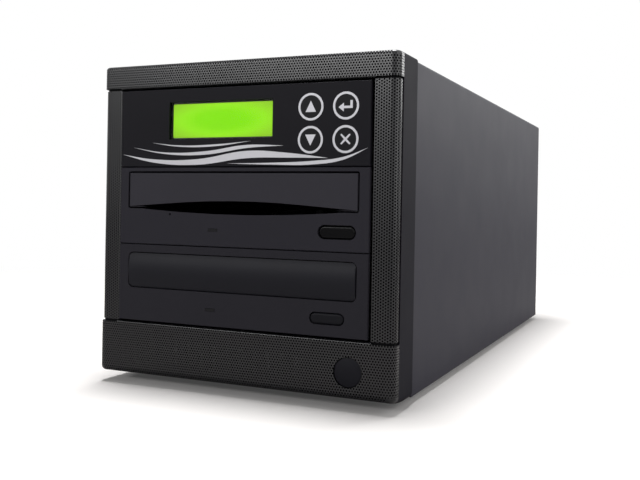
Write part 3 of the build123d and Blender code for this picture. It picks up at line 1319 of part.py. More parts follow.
with BuildPart() as mains_inlet:
    inlet_front = INLET_FACE_Y - CAVITY_DEPTH - 2
    slab(
        INLET_X - INLET_W / 2, INLET_X + INLET_W / 2, inlet_front, INLET_FACE_Y,
        INLET_MID_Z - INLET_H / 2, INLET_MID_Z + INLET_H / 2,
    )
    slab(
        INLET_X - INLET_W / 2 - INLET_FLANGE_OUT, INLET_X + INLET_W / 2 + INLET_FLANGE_OUT,
        PSU_BACK_Y, INLET_FACE_Y,
        INLET_MID_Z - INLET_H / 2 - INLET_FLANGE_OUT, INLET_MID_Z + INLET_H / 2 + INLET_FLANGE_OUT,
    )
    with BuildSketch(upright(INLET_FACE_Y)):
        with Locations((INLET_X, INLET_MID_Z)):
            Rectangle(CAVITY_W, CAVITY_H)
        chamfer(vertices().group_by(Axis.Y)[-1], CAVITY_CORNER)
    extrude(amount=CAVITY_DEPTH, mode=Mode.SUBTRACT)
    for pin_x, pin_z in ((-MAINS_PIN_X, -MAINS_PIN_Z), (MAINS_PIN_X, -MAINS_PIN_Z), (0, MAINS_PIN_Z)):
        slab(
            INLET_X + pin_x - MAINS_PIN_W / 2, INLET_X + pin_x + MAINS_PIN_W / 2,
            inlet_front - TERMINAL_L, INLET_FACE_Y - CAVITY_DEPTH + MAINS_PIN_L,
            INLET_MID_Z + pin_z - MAINS_PIN_H / 2, INLET_MID_Z + pin_z + MAINS_PIN_H / 2,
        )
    # rocker switch housing with its pivot pin
    slab(
        INLET_X - SWITCH_BODY_W / 2, INLET_X + SWITCH_BODY_W / 2,
        INLET_FACE_Y - SWITCH_BODY_DEPTH, INLET_FACE_Y,
        ROCKER_MID_Z - SWITCH_BODY_H / 2, ROCKER_MID_Z + SWITCH_BODY_H / 2,
    )
    slab(
        INLET_X - SWITCH_BODY_W / 2 - INLET_FLANGE_OUT, INLET_X + SWITCH_BODY_W / 2 + INLET_FLANGE_OUT,
        PSU_BACK_Y, INLET_FACE_Y,
        ROCKER_MID_Z - SWITCH_BODY_H / 2 - INLET_FLANGE_OUT,
        ROCKER_MID_Z + SWITCH_BODY_H / 2 + INLET_FLANGE_OUT,
    )
    slab(
        INLET_X - WELL_HALF_W, INLET_X + WELL_HALF_W, INLET_FACE_Y - WELL_DEPTH, INLET_FACE_Y + 1,
        ROCKER_MID_Z - WELL_HALF_H, ROCKER_MID_Z + WELL_HALF_H, mode=Mode.SUBTRACT,
    )
    cross_pin(
        INLET_X - WELL_HALF_W - 0.5, INLET_X + WELL_HALF_W + 0.5, ROCKER_AXIS_Y, ROCKER_MID_Z,
        ROCKER_PIN_R,
    )
    for terminal_z in (-4.0, 4.0):
        slab(
            INLET_X - 3.1, INLET_X + 3.1,
            INLET_FACE_Y - SWITCH_BODY_DEPTH - TERMINAL_L, INLET_FACE_Y - SWITCH_BODY_DEPTH,
            ROCKER_MID_Z + terminal_z - 0.4, ROCKER_MID_Z + terminal_z + 0.4,
        )
save(mains_inlet, "mains_inlet")

ROCKER_FACE = 2.6
ROCKER_DIP = 1.0
ROCKER_FACE_HALF = 6.0
ROCKER_ROOT = 2.4
ROCKER_ROOT_HALF = 4.4

with BuildPart() as psu_rocker:
    with BuildSketch(side_on(INLET_X - WELL_HALF_W + SHEET_GAP)):
        with Locations((ROCKER_AXIS_Y, ROCKER_MID_Z)):
            Polygon(
                (ROCKER_FACE, ROCKER_FACE_HALF), (ROCKER_FACE - ROCKER_DIP, 0),
                (ROCKER_FACE, -ROCKER_FACE_HALF), (-ROCKER_ROOT, -ROCKER_ROOT_HALF),
                (-ROCKER_ROOT, ROCKER_ROOT_HALF), rotation=ROCKER_TILT, align=None,
            )
            Circle(ROCKER_PIN_R + RUNNING_GAP, mode=Mode.SUBTRACT)
    extrude(amount=2 * (WELL_HALF_W - SHEET_GAP))
save(psu_rocker, "psu_rocker")

# ================================================================ fans
FAN_WALL = 1.5
FAN_HUB_SHARE = 0.2
FAN_BACK_T = 3.0
FAN_PITCH = 38.0
FAN_BLADE_T = 1.4
FAN_STRUT_W = 3.0
FAN_AXLE_R = 1.5


def fan(name, x, z, side, back_y):
    """A fan frame with its stator hub and axle, and the rotor that spins in it."""
    front_y = back_y - FAN_T
    bore_r = side / 2 - FAN_WALL
    hub_r = side * FAN_HUB_SHARE
    hole = side * FAN_HOLE_SHARE
    with BuildPart() as frame:
        slab(x - side / 2, x + side / 2, front_y, back_y, z - side / 2, z + side / 2)
        fillet(frame.edges().filter_by(Axis.Y), FAN_WALL)
        peg(x, front_y - 1, back_y + 1, z, bore_r, mode=Mode.SUBTRACT)
        for hole_x in (x - hole, x + hole):
            for hole_z in (z - hole, z + hole):
                peg(
                    hole_x, front_y - 1, back_y + 1, hole_z, CASE_R + RUNNING_GAP,
                    mode=Mode.SUBTRACT,
                )
        peg(x, front_y, front_y + FAN_BACK_T, z, hub_r)
        with BuildSketch(upright(front_y)) as struts:
            with Locations((x, z)):
                for turn in (45, -45):
                    Rectangle(2 * bore_r + 1, FAN_STRUT_W, rotation=turn)
        extrude(struts.sketch, amount=-FAN_BACK_T)
        peg(x, front_y, back_y - 3, z, FAN_AXLE_R)
    save(frame, f"{name}_frame")

    rotor_front = front_y + FAN_BACK_T + 0.5
    rotor_back = back_y - 2
    middle_y = (rotor_front + rotor_back) / 2
    chord = (rotor_back - rotor_front - 2) / cos(radians(FAN_PITCH))
    with BuildPart() as rotor:
        for blade in range(FAN_BLADES):
            turn = 2 * pi * blade / FAN_BLADES
            radial = Vector(cos(turn), 0, sin(turn))
            plane = Plane(origin=(x, middle_y, z), x_dir=(0, 1, 0), z_dir=radial)
            with BuildSketch(plane) as section:
                Rectangle(chord, FAN_BLADE_T, rotation=FAN_PITCH)
            extrude(section.sketch, amount=bore_r + 2)
        peg(x, rotor_front + 0.5, rotor_back - 0.5, z, bore_r - FAN_TIP_GAP, mode=Mode.INTERSECT)
        peg(x, rotor_front, rotor_back, z, hub_r)
        peg(x, rotor_front - 1, back_y - 3, z, FAN_AXLE_R + RUNNING_GAP, mode=Mode.SUBTRACT)
    save(rotor, f"{name}_rotor")


fan("psu_fan", PSU_FAN_X, PSU_MID_Z, PSU_FAN, PSU_INNER_BACK)
fan("case_fan", 0, FAN_Z, CASE_FAN, PSU_BACK_Y)

# ================================================================ leads
DATA_R = 2.4
POWER_R_LEAD = 2.2
SMALL_R = 1.2
PLUG_W = 13.0
PLUG_H = 4.4
PLUG_L = 8.0
BEND_R = 6.0
CONTROL_PLUG_Z = CONTROL_BOARD_Z + BOARD_T + SOCKET_H / 2
DRIVE_PLUG_Y = back(SHELL_BACK + 0.4)
DATA_X, POWER_X_DRIVE = DRIVE_SOCKETS_X
DRIVE_PLUG_Z = {
    bay: BAY_Z[bay] + DRIVE_BOARD_Z + BOARD_T + (DRIVE_SOCKET_H - 1) / 2 for bay in ("upper", "lower")
}


def lead(radius, *places):
    """A round lead along straight runs with rounded bends, added to the piece being made."""
    with BuildLine() as run:
        FilletPolyline(*places, radius=BEND_R)
    start = run.line @ 0
    with BuildSketch(Plane(origin=start, z_dir=run.line % 0)) as section:
        Circle(radius)
    sweep(section.sketch, path=run.line)


def plug(x, y, z):
    """The plug on a lead's end, seated against a socket."""
    slab(x - PLUG_W / 2, x + PLUG_W / 2, y, y + PLUG_L, z - PLUG_H / 2, z + PLUG_H / 2)


with BuildPart() as data_cables:
    upper_z = DRIVE_PLUG_Z["upper"]
    lower_z = DRIVE_PLUG_Z["lower"]
    upper_start, lower_start = CONTROL_SOCKETS_X[:2]
    lead(
        DATA_R,
        (upper_start, SOCKET_BACK, CONTROL_PLUG_Z), (upper_start, DRIVE_PLUG_Y + 17, CONTROL_PLUG_Z),
        (DATA_X, DRIVE_PLUG_Y + 17, upper_z), (DATA_X, DRIVE_PLUG_Y, upper_z),
    )
    lead(
        DATA_R,
        (lower_start, SOCKET_BACK, CONTROL_PLUG_Z), (lower_start, DRIVE_PLUG_Y + 27, CONTROL_PLUG_Z),
        (DATA_X, DRIVE_PLUG_Y + 27, lower_z), (DATA_X, DRIVE_PLUG_Y, lower_z),
    )
    for plug_x in (upper_start, lower_start):
        plug(plug_x, SOCKET_BACK, CONTROL_PLUG_Z)
    for plug_z in (upper_z, lower_z):
        plug(DATA_X, DRIVE_PLUG_Y, plug_z)
    slab(
        -RIBBON_HALF, RIBBON_HALF, FRONT_BOARD_Y + BOARD_T, CONTROL_BOARD_Y[0] + 2,
        CONTROL_PLUG_Z - RIBBON_T / 2, CONTROL_PLUG_Z + RIBBON_T / 2,
    )
save(data_cables, "data_cables")

LEAD_BEHIND = DRIVE_PLUG_Y + 30
SWITCH_LEAD_Y = SWITCH_FRONT + SWITCH_DEPTH + SWITCH_TERMINAL
with BuildPart() as power_leads:
    control_power_x, control_fan_x = CONTROL_SOCKETS_X[2:]
    lead(
        POWER_R_LEAD,
        (LEAD_EXIT_X - 4, PSU_FRONT_Y, LEAD_EXIT_Z + 4), (LEAD_EXIT_X - 4, LEAD_BEHIND + 16, LEAD_EXIT_Z + 4),
        (POWER_X_DRIVE, LEAD_BEHIND, upper_z), (POWER_X_DRIVE, DRIVE_PLUG_Y, upper_z),
    )
    lead(
        POWER_R_LEAD,
        (LEAD_EXIT_X, PSU_FRONT_Y, LEAD_EXIT_Z - 4), (LEAD_EXIT_X, LEAD_BEHIND + 16, LEAD_EXIT_Z - 4),
        (POWER_X_DRIVE, LEAD_BEHIND, lower_z), (POWER_X_DRIVE, DRIVE_PLUG_Y, lower_z),
    )
    lead(
        POWER_R_LEAD,
        (LEAD_EXIT_X + 4, PSU_FRONT_Y, LEAD_EXIT_Z + 4), (LEAD_EXIT_X + 4, LEAD_BEHIND + 30, LEAD_EXIT_Z + 4),
        (control_power_x, LEAD_BEHIND, CONTROL_PLUG_Z), (control_power_x, SOCKET_BACK, CONTROL_PLUG_Z),
    )
    fan_lead_x = CASE_FAN / 2 - 1.6
    fan_lead_z = FAN_Z - CASE_FAN / 4
    lead(
        SMALL_R,
        (control_fan_x, SOCKET_BACK, CONTROL_PLUG_Z), (control_fan_x, PSU_BACK_Y - 80, CONTROL_PLUG_Z),
        (fan_lead_x, PSU_BACK_Y - 55, fan_lead_z), (fan_lead_x, PSU_BACK_Y - FAN_T, fan_lead_z),
    )
    peg(POWER_X, SWITCH_LEAD_Y, PSU_FRONT_Y, BASE_Z + POWER_Z, POWER_R_LEAD)
    for plug_z in (upper_z, lower_z):
        plug(POWER_X_DRIVE, DRIVE_PLUG_Y, plug_z)
    for plug_x in (control_power_x, control_fan_x):
        plug(plug_x, SOCKET_BACK, CONTROL_PLUG_Z)
save(power_leads, "power_leads")
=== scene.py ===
"""Looks of a disc copying tower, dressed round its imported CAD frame."""

import logging
from dataclasses import dataclass
from enum import Enum
from math import cos, hypot, pi, radians, sin, sqrt, tan
from typing import Any, Callable, Iterable, Sequence

import bpy
from mathutils import Matrix, Vector


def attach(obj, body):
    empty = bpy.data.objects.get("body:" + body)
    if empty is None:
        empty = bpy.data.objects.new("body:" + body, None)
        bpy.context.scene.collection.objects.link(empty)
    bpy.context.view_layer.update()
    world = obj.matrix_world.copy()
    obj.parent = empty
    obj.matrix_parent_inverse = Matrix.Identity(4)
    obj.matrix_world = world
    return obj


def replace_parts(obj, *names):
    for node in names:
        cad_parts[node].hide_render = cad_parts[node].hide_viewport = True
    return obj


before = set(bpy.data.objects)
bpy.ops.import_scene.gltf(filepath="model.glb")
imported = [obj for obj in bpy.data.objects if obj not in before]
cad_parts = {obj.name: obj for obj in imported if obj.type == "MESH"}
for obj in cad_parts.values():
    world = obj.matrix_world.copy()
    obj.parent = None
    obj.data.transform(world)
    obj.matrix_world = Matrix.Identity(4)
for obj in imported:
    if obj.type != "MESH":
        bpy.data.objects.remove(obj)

LOG = logging.getLogger("tower")
MM = 0.001
CASE = "case"
MERGE_GAP = 0.001 * MM  # vertices nearer than this are one
CUT_GAP = 1e-7  # metres that a cut may miss a vertex by
NEAR_MM = 1e-3  # places nearer than this are the same
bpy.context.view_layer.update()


# ------------------------------------------------------------------ measures shared with the CAD
@dataclass(frozen=True)
class Tower:
    """Sizes and places of the tower in millimetres, in the frame of the CAD model."""

    front_y: float = -200.8
    base_z: float = 4.0
    top_z: float = 177.0
    half_w: float = 88.0
    band_y: float = -199.9
    pillar_y: float = -199.1
    pillar_half: float = 87.6
    open_half: float = 75.7
    open_base: float = 34.3
    open_top: float = 164.6
    skin_t: float = 0.6
    skin_fold: float = 3.5
    skin_end: float = -192.9
    skin_parting: float = 1.2
    side_edge_r: float = 4.0
    top_edge_r: float = 1.6
    bottom_edge_r: float = 3.0
    bottom_rise: float = 2.8
    bottom_run: float = 20.0
    power_x: float = 63.7
    power_z: float = 19.4
    power_hole_r: float = 7.6


TOWER = Tower()


# ------------------------------------------------------------------ small tools
def linear(code: str) -> tuple[float, float, float, float]:
    """Turns an sRGB hex colour into linear light.

    Args:
        code: six hex digits, with or without a leading hash.

    Returns:
        Red, green, blue and an alpha of one, in linear light.
    """
    digits = code.lstrip("#")
    levels = [int(digits[i : i + 2], 16) / 255 for i in (0, 2, 4)]
    red, green, blue = [c / 12.92 if c <= 0.04045 else ((c + 0.055) / 1.055) ** 2.4 for c in levels]
    return red, green, blue, 1.0


def deselect() -> None:
    """Leaves edit mode and deselects every object."""
    if bpy.context.object and bpy.context.object.mode != "OBJECT":
        bpy.ops.object.mode_set(mode="OBJECT")
    bpy.ops.object.select_all(action="DESELECT")


def activate(obj: bpy.types.Object) -> None:
    """Makes one object the only selected and active one."""
    deselect()
    obj.select_set(True)
    bpy.context.view_layer.objects.active = obj


def edit(obj: bpy.types.Object) -> None:
    """Opens an object in edit mode with everything in it selected."""
    activate(obj)
    bpy.ops.object.mode_set(mode="EDIT")
    bpy.ops.mesh.select_all(action="SELECT")


def settle(obj: bpy.types.Object) -> bpy.types.Object:
    """Puts an object's place, turn and size into its mesh.

    Args:
        obj: the mesh object to settle.

    Returns:
        The same object, at the origin.
    """
    activate(obj)
    bpy.ops.object.transform_apply(location=True, rotation=True, scale=True)
    return obj


def apply_modifier(obj: bpy.types.Object, kind: str, **settings: Any) -> None:
    """Adds a modifier to an object and applies it.

    Args:
        obj: the object to change.
        kind: Blender's name of the modifier.
        **settings: values for the modifier.
    """
    modifier = obj.modifiers.new(kind.title(), kind)
    for name, value in settings.items():
        setattr(modifier, name, value)
    activate(obj)
    bpy.ops.object.modifier_apply(modifier=modifier.name)


def pick(obj: bpy.types.Object, mode: str, test: Any) -> int:
    """Selects vertices, edges or faces of the edited object by a test.

    Args:
        obj: the object in edit mode.
        mode: VERT, EDGE or FACE.
        test: function of one vertex, edge or face of the mesh, true to select it.

    Returns:
        How many were selected.
    """
    bpy.ops.mesh.select_mode(type=mode)
    bpy.ops.mesh.select_all(action="DESELECT")
    bpy.ops.object.mode_set(mode="OBJECT")
    mesh = obj.data
    items = {"VERT": mesh.vertices, "EDGE": mesh.edges, "FACE": mesh.polygons}[mode]
    count = 0
    for item in items:
        item.select = bool(test(item))
        count += item.select
    bpy.ops.object.mode_set(mode="EDIT")
    bpy.ops.mesh.select_mode(type=mode)
    return count


def joined(name: str, parts: Sequence[bpy.types.Object]) -> bpy.types.Object:
    """Joins several objects into one piece.

    Args:
        name: name of the finished piece.
        parts: the objects, of which the first takes in the others.

    Returns:
        The joined object.
    """
    deselect()
    for part in parts:
        part.select_set(True)
    bpy.context.view_layer.objects.active = parts[0]
    if len(parts) > 1:
        bpy.ops.object.join()
    parts[0].name = name
    return parts[0]


def finish_piece(
    obj: bpy.types.Object, name: str, body: str, finish: "Finish", smooth_deg: float = 35.0,
    flat: bool = False,
) -> bpy.types.Object:
    """Names, dresses and mounts a finished piece.

    Args:
        obj: the piece.
        name: its name.
        body: the CAD body that it rides on.
        finish: what it is made of.
        smooth_deg: edges flatter than this are shaded smooth.
        flat: whether its large faces keep their flat shading beside rounded edges.

    Returns:
        The same piece.
    """
    settle(obj)
    obj.name = name
    obj.data.name = name
    obj.data.materials.clear()
    obj.data.materials.append(finish.material())
    activate(obj)
    bpy.ops.object.shade_smooth_by_angle(angle=radians(smooth_deg))
    if flat:
        apply_modifier(obj, "WEIGHTED_NORMAL", keep_sharp=True, weight=100)
    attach(obj, body)
    LOG.info("%s on %s: %d faces", name, body, len(obj.data.polygons))
    return obj


def dress(node: str, finish: "Finish") -> None:
    """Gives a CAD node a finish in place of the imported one.

    Args:
        node: name of the node.
        finish: what it is made of.
    """
    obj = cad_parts[node]
    material = finish.material()
    for place in obj.material_slots:
        place.material = material
    LOG.info("%s dressed as %s", node, material.name)


def rounded_path(
    corners: Sequence[tuple[float, float, float]], steps: int = 12
) -> list[tuple[float, float]]:
    """Rounds the corners of a path.

    Args:
        corners: place and radius of each corner, and of the two ends.
        steps: pieces of each rounding.

    Returns:
        The points of the rounded path.
    """
    points = [corners[0][:2]]
    for (x0, y0, _), (x1, y1, radius), (x2, y2, _) in zip(corners, corners[1:], corners[2:]):
        into = Vector((x1 - x0, y1 - y0)).normalized()
        away = Vector((x2 - x1, y2 - y1)).normalized()
        turn = into.angle_signed(away)
        if radius <= 0 or abs(turn) < radians(0.5):
            points.append((x1, y1))
            continue
        reach = radius * tan(abs(turn) / 2)
        start = Vector((x1, y1)) - into * reach
        side = Vector((-into.y, into.x)) * (-1 if turn > 0 else 1)
        centre = start + side * radius
        spoke = start - centre
        for step in range(steps + 1):
            angle = -turn * step / steps
            cosine, sine = cos(angle), sin(angle)
            points.append(
                (
                    centre.x + spoke.x * cosine - spoke.y * sine,
                    centre.y + spoke.x * sine + spoke.y * cosine,
                )
            )
    points.append(corners[-1][:2])
    return points


def path_lengths(points: Sequence[tuple[float, float]]) -> list[float]:
    """Distance along a path at each of its points."""
    lengths = [0.0]
    for (x0, y0), (x1, y1) in zip(points, points[1:]):
        lengths.append(lengths[-1] + hypot(x1 - x0, y1 - y0))
    return lengths


# ------------------------------------------------------------------ finishes
def add_node(
    tree: bpy.types.NodeTree, kind: str, inputs: dict[Any, Any] | None = None, **settings: Any
) -> bpy.types.Node:
    """Adds one shader node with its settings, values and links.

    Args:
        tree: the material's node tree.
        kind: Blender's type name of the node.
        inputs: value or source socket for each named or numbered input.
        **settings: properties of the node itself.

    Returns:
        The new node.
    """
    node = tree.nodes.new(kind)
    for name, value in settings.items():
        setattr(node, name, value)
    for name, source in (inputs or {}).items():
        if isinstance(source, bpy.types.NodeSocket):
            tree.links.new(source, node.inputs[name])
        else:
            node.inputs[name].default_value = source
    return node


def mixed(tree: bpy.types.NodeTree, share: Any, first: Any, second: Any) -> bpy.types.NodeSocket:
    """Mixes two colours.

    Args:
        tree: the material's node tree.
        share: how much of the second colour, from 0 to 1.
        first: the first colour or its socket.
        second: the second colour or its socket.

    Returns:
        The socket that gives the mixed colour.
    """
    inputs = {0: share, 6: first, 7: second}
    return add_node(tree, "ShaderNodeMix", inputs, data_type="RGBA").outputs[2]


@dataclass(frozen=True)
class Finish:
    """What a surface is made of: its colour, gloss, and the grain that its making leaves."""

    name: str
    colour: str
    roughness: float = 0.5
    specular: float = 0.5
    metallic: float = 0.0
    ior: float = 1.5
    grain_mm: float = 0.6  # size of the grain
    grain_um: float = 12.0  # height of the grain
    stretch: tuple[float, float, float] = (1.0, 1.0, 1.0)
    mottle: float = 0.06  # how much the colour drifts over the surface
    mottle_mm: float = 45.0
    rough_drift: float = 0.05
    coat: float = 0.0
    coat_roughness: float = 0.1
    transmission: float = 0.0

    def material(self) -> bpy.types.Material:
        """Makes the material once and gives it again on each later call.

        Returns:
            The node material of this finish.
        """
        if self.name in bpy.data.materials:
            return bpy.data.materials[self.name]
        material = bpy.data.materials.new(self.name)
        material.use_nodes = True
        tree = material.node_tree
        tree.nodes.clear()
        place = add_node(tree, "ShaderNodeTexCoord").outputs["Object"]
        shader = self.shader(tree, place)
        add_node(tree, "ShaderNodeOutputMaterial", {"Surface": shader.outputs[0]})
        return material

    def colour_source(self, tree: bpy.types.NodeTree, place: bpy.types.NodeSocket) -> Any:
        """Makes the colour, which drifts a little over tens of millimetres as a real batch does.

        Args:
            tree: the material's node tree.
            place: the coordinates.

        Returns:
            The socket that gives the colour.
        """
        drift = add_node(
            tree, "ShaderNodeTexNoise",
            {"Vector": place, "Scale": 1 / (self.mottle_mm * MM), "Detail": 3.0},
        )
        base = linear(self.colour)
        light = tuple(min(1.0, c * (1 + self.mottle)) for c in base[:3]) + (1.0,)
        dark = tuple(c * (1 - self.mottle) for c in base[:3]) + (1.0,)
        return mixed(tree, drift.outputs["Fac"], dark, light)

    def height_source(self, tree: bpy.types.NodeTree, place: bpy.types.NodeSocket) -> Any:
        """Makes the grain's height.

        Args:
            tree: the material's node tree.
            place: the coordinates.

        Returns:
            The socket that gives a height from 0 to 1.
        """
        spread = add_node(tree, "ShaderNodeMapping", {"Vector": place, "Scale": self.stretch})
        grain = add_node(
            tree, "ShaderNodeTexNoise",
            {"Vector": spread.outputs[0], "Scale": 1 / (self.grain_mm * MM), "Detail": 2.0},
        )
        return grain.outputs["Fac"]

    def shader(self, tree: bpy.types.NodeTree, place: bpy.types.NodeSocket) -> bpy.types.Node:
        """Makes the surface shader with its colour, gloss and grain.

        Args:
            tree: the material's node tree.
            place: the coordinates.

        Returns:
            The shader node.
        """
        smear = add_node(
            tree, "ShaderNodeTexNoise",
            {"Vector": place, "Scale": 1 / (self.mottle_mm * 0.6 * MM), "Detail": 4.0},
        )
        gloss = add_node(
            tree, "ShaderNodeMapRange",
            {
                "Value": smear.outputs["Fac"],
                "To Min": self.roughness - self.rough_drift,
                "To Max": self.roughness + self.rough_drift,
            },
        )
        bump = add_node(
            tree, "ShaderNodeBump",
            {"Height": self.height_source(tree, place), "Distance": self.grain_um * 1e-6},
        )
        return add_node(
            tree, "ShaderNodeBsdfPrincipled",
            {
                "Base Color": self.colour_source(tree, place),
                "Roughness": gloss.outputs[0],
                "Metallic": self.metallic,
                "IOR": self.ior,
                "Specular IOR Level": self.specular,
                "Normal": bump.outputs[0],
                "Coat Weight": self.coat,
                "Coat Roughness": self.coat_roughness,
                "Transmission Weight": self.transmission,
            },
        )


@dataclass(frozen=True)
class CircuitBoard(Finish):
    """Fibreglass board under green lacquer, with its copper tracks showing as paler lines."""

    track_colour: str = "#2E7A41"
    track_mm: float = 2.2

    def colour_source(self, tree: bpy.types.NodeTree, place: bpy.types.NodeSocket) -> Any:
        """Makes square-cornered tracks of a paler green.

        Args:
            tree: the material's node tree.
            place: the coordinates.

        Returns:
            The socket that gives the colour.
        """
        cells = add_node(
            tree, "ShaderNodeTexVoronoi",
            {"Vector": place, "Scale": 1 / (self.track_mm * MM)},
            distance="MANHATTAN",
        )
        lines = add_node(
            tree, "ShaderNodeMapRange",
            {"Value": cells.outputs["Distance"], "From Min": 0.42, "From Max": 0.5},
        )
        return mixed(tree, lines.outputs[0], linear(self.colour), linear(self.track_colour))


@dataclass(frozen=True)
class LitFinish(Finish):
    """A surface that gives light of its own, paler at its edges and dimmer in its corners."""

    centre: tuple[float, float, float] = (0.0, 0.0, 0.0)
    half_size: tuple[float, float] = (30.0, 9.0)
    edge_colour: str = "#A8F02C"
    strength: float = 1.0
    paling: tuple[float, float] = (0.5, 1.3)  # where it turns to the edge colour, in half sizes
    dimming: tuple[float, float] = (0.85, 1.42)  # where it loses light, in half sizes
    corner_share: float = 0.6  # light left in a corner

    def shader(self, tree: bpy.types.NodeTree, place: bpy.types.NodeSocket) -> bpy.types.Node:
        """Makes an emitting surface whose light falls off towards its corners.

        Args:
            tree: the material's node tree.
            place: the coordinates.

        Returns:
            The shader node.
        """
        scale = (1 / (self.half_size[0] * MM), 0.0, 1 / (self.half_size[1] * MM))
        offset = tuple(-c * MM * s for c, s in zip(self.centre, scale))
        local = add_node(
            tree, "ShaderNodeMapping", {"Vector": place, "Location": offset, "Scale": scale}
        )
        reach = add_node(tree, "ShaderNodeVectorMath", {0: local.outputs[0]}, operation="LENGTH")
        fall = add_node(
            tree, "ShaderNodeMapRange",
            {
                "Value": reach.outputs["Value"],
                "From Min": self.paling[0], "From Max": self.paling[1],
            },
        )
        colour = mixed(tree, fall.outputs[0], linear(self.colour), linear(self.edge_colour))
        dim = add_node(
            tree, "ShaderNodeMapRange",
            {
                "Value": reach.outputs["Value"],
                "From Min": self.dimming[0], "From Max": self.dimming[1],
                "To Min": self.strength, "To Max": self.strength * self.corner_share,
            },
        )
        return add_node(
            tree, "ShaderNodeEmission", {"Color": colour, "Strength": dim.outputs[0]}
        )


@dataclass(frozen=True)
class PaintedShadeMoulding(Finish):
    """Moulding painted a deeper black ahead of a plane as painted shade, where it shows only
    through holes.
    """

    # painted shade: the deeper black of the face that lies behind the skins
    painted_shade_colour: str = "#08080A"
    plane_y: float = -193.2

    def colour_source(self, tree: bpy.types.NodeTree, place: bpy.types.NodeSocket) -> Any:
        """Makes the open colour behind the plane and the painted-shade colour ahead of it.

        Args:
            tree: the material's node tree.
            place: the coordinates.

        Returns:
            The socket that gives the colour.
        """
        along = add_node(tree, "ShaderNodeSeparateXYZ", {"Vector": place}).outputs["Y"]
        behind = add_node(
            tree, "ShaderNodeMath", {0: along, 1: self.plane_y * MM}, operation="GREATER_THAN"
        )
        open_colour = Finish.colour_source(self, tree, place)
        # painted shade ahead of the plane, the plain moulding colour behind it
        return mixed(tree, behind.outputs[0], linear(self.painted_shade_colour), open_colour)


# baked powder coat: satin, with a fine orange peel
COVER_PAINT = Finish(
    "powder_coated_steel_charcoal", "#36353F", roughness=0.5, specular=0.12,
    grain_mm=0.9, grain_um=14.0, mottle=0.08,
)
# spark-eroded ABS: a soft even grain with little gloss, with painted shade: a deeper black on its
# face behind the skins
FRONT_ABS = PaintedShadeMoulding(
    "moulded_abs_black_painted_shade", "#1D1C23", roughness=0.6, specular=0.06, grain_mm=0.5, grain_um=16.0
)
UPPER_DRIVE_ABS = Finish(
    "moulded_abs_upper_drive", "#2F2E35", roughness=0.55, specular=0.1, grain_mm=0.45,
    grain_um=15.0,
)
UPPER_TRAY_ABS = Finish(
    "moulded_abs_upper_tray", "#3B3A41", roughness=0.5, specular=0.1, grain_mm=0.45,
    grain_um=12.0,
)
LOWER_DRIVE_ABS = Finish(
    "moulded_abs_lower_drive", "#2E2D33", roughness=0.55, specular=0.08, grain_mm=0.45,
    grain_um=15.0,
)
LOWER_TRAY_ABS = Finish(
    "moulded_abs_lower_tray", "#202026", roughness=0.42, specular=0.12, grain_mm=0.45,
    grain_um=10.0,
)
TRAY_ABS = Finish(
    "moulded_abs_drive_tray", "#1F1F22", roughness=0.42, specular=0.35, grain_mm=0.6,
    grain_um=8.0,
)
# reverse-printed polycarbonate film: even and nearly matt
PANEL_FILM = Finish(
    "printed_polycarbonate_film", "#15141A", roughness=0.5, specular=0.08, ior=1.58,
    grain_mm=0.35, grain_um=5.0, mottle=0.03,
)
# black lacquer over punched sheet: each web catches the lamps
MESH_LACQUER = Finish(
    "lacquered_perforated_steel", "#111116", roughness=0.24, specular=0.65, grain_mm=0.7,
    grain_um=3.0, mottle=0.1,
)
KEY_CAP = Finish(
    "moulded_key_cap", "#0F0F13", roughness=0.4, specular=0.12, grain_mm=0.3, grain_um=4.0
)
SILVER_INK = Finish(
    "screen_printed_silver_ink", "#D3D3D9", roughness=0.42, specular=0.3, metallic=0.25,
    grain_mm=0.12, grain_um=2.0, mottle=0.04, mottle_mm=6.0,
)
WHITE_INK = Finish(
    "pad_printed_white_ink", "#DEDEDE", roughness=0.5, grain_mm=0.12, grain_um=2.0
)
# cast acrylic with an anti-glare coat: it mirrors little, so its index is set low
CLEAR_ACRYLIC = Finish(
    "clear_acrylic_window", "#FFFFFF", roughness=0.05, specular=0.03, ior=1.2, grain_um=0.0,
    mottle=0.0, rough_drift=0.01, transmission=1.0,
)
# polished ABS: a deep black that mirrors the lamps along its rounded edge
GLOSSY_ABS = Finish(
    "polished_abs_button", "#060608", roughness=0.18, specular=0.14, grain_mm=1.5, grain_um=2.0,
    rough_drift=0.03,
)
SATIN_ABS = Finish(
    "satin_abs_button", "#18181D", roughness=0.4, specular=0.1, grain_mm=0.6, grain_um=5.0
)
POWER_ABS = Finish(
    "satin_abs_power_button", "#1E1E24", roughness=0.36, specular=0.1, grain_mm=0.5, grain_um=6.0
)
SMOKED_LENS = Finish(
    "smoked_polycarbonate_lens", "#1B1B1E", roughness=0.25, specular=0.15, ior=1.58, grain_um=1.0
)
TINNED_FRAME = Finish(
    "black_display_frame", "#0D0D0F", roughness=0.45, specular=0.3, grain_mm=0.4, grain_um=4.0
)
# bright zinc plate on cold-rolled sheet: rolling lines run one way under a grey shine
ZINC_SHEET = Finish(
    "zinc_plated_steel_sheet", "#B9BCBE", roughness=0.34, metallic=1.0, grain_mm=0.5,
    grain_um=1.2, stretch=(1.0, 0.04, 1.0), mottle=0.07, mottle_mm=30.0, rough_drift=0.07,
)
TIN_SHEET = Finish(
    "tin_plated_drive_shell", "#A3A4A4", roughness=0.42, metallic=1.0, grain_mm=0.6,
    grain_um=1.0, stretch=(1.0, 0.04, 1.0), mottle=0.05, mottle_mm=26.0, rough_drift=0.06,
)
GROUND_STEEL = Finish(
    "ground_steel_rod", "#C9CACC", roughness=0.16, metallic=1.0, grain_mm=0.2, grain_um=0.6,
    stretch=(1.0, 1.0, 0.1),
)
NICKEL_SCREW = Finish(
    "nickel_plated_screw", "#B7B5AF", roughness=0.25, metallic=1.0, grain_mm=0.3, grain_um=1.0
)
BLACK_SCREW = Finish(
    "black_oxide_screw", "#1D1D1F", roughness=0.38, specular=0.5, grain_mm=0.3, grain_um=3.0
)
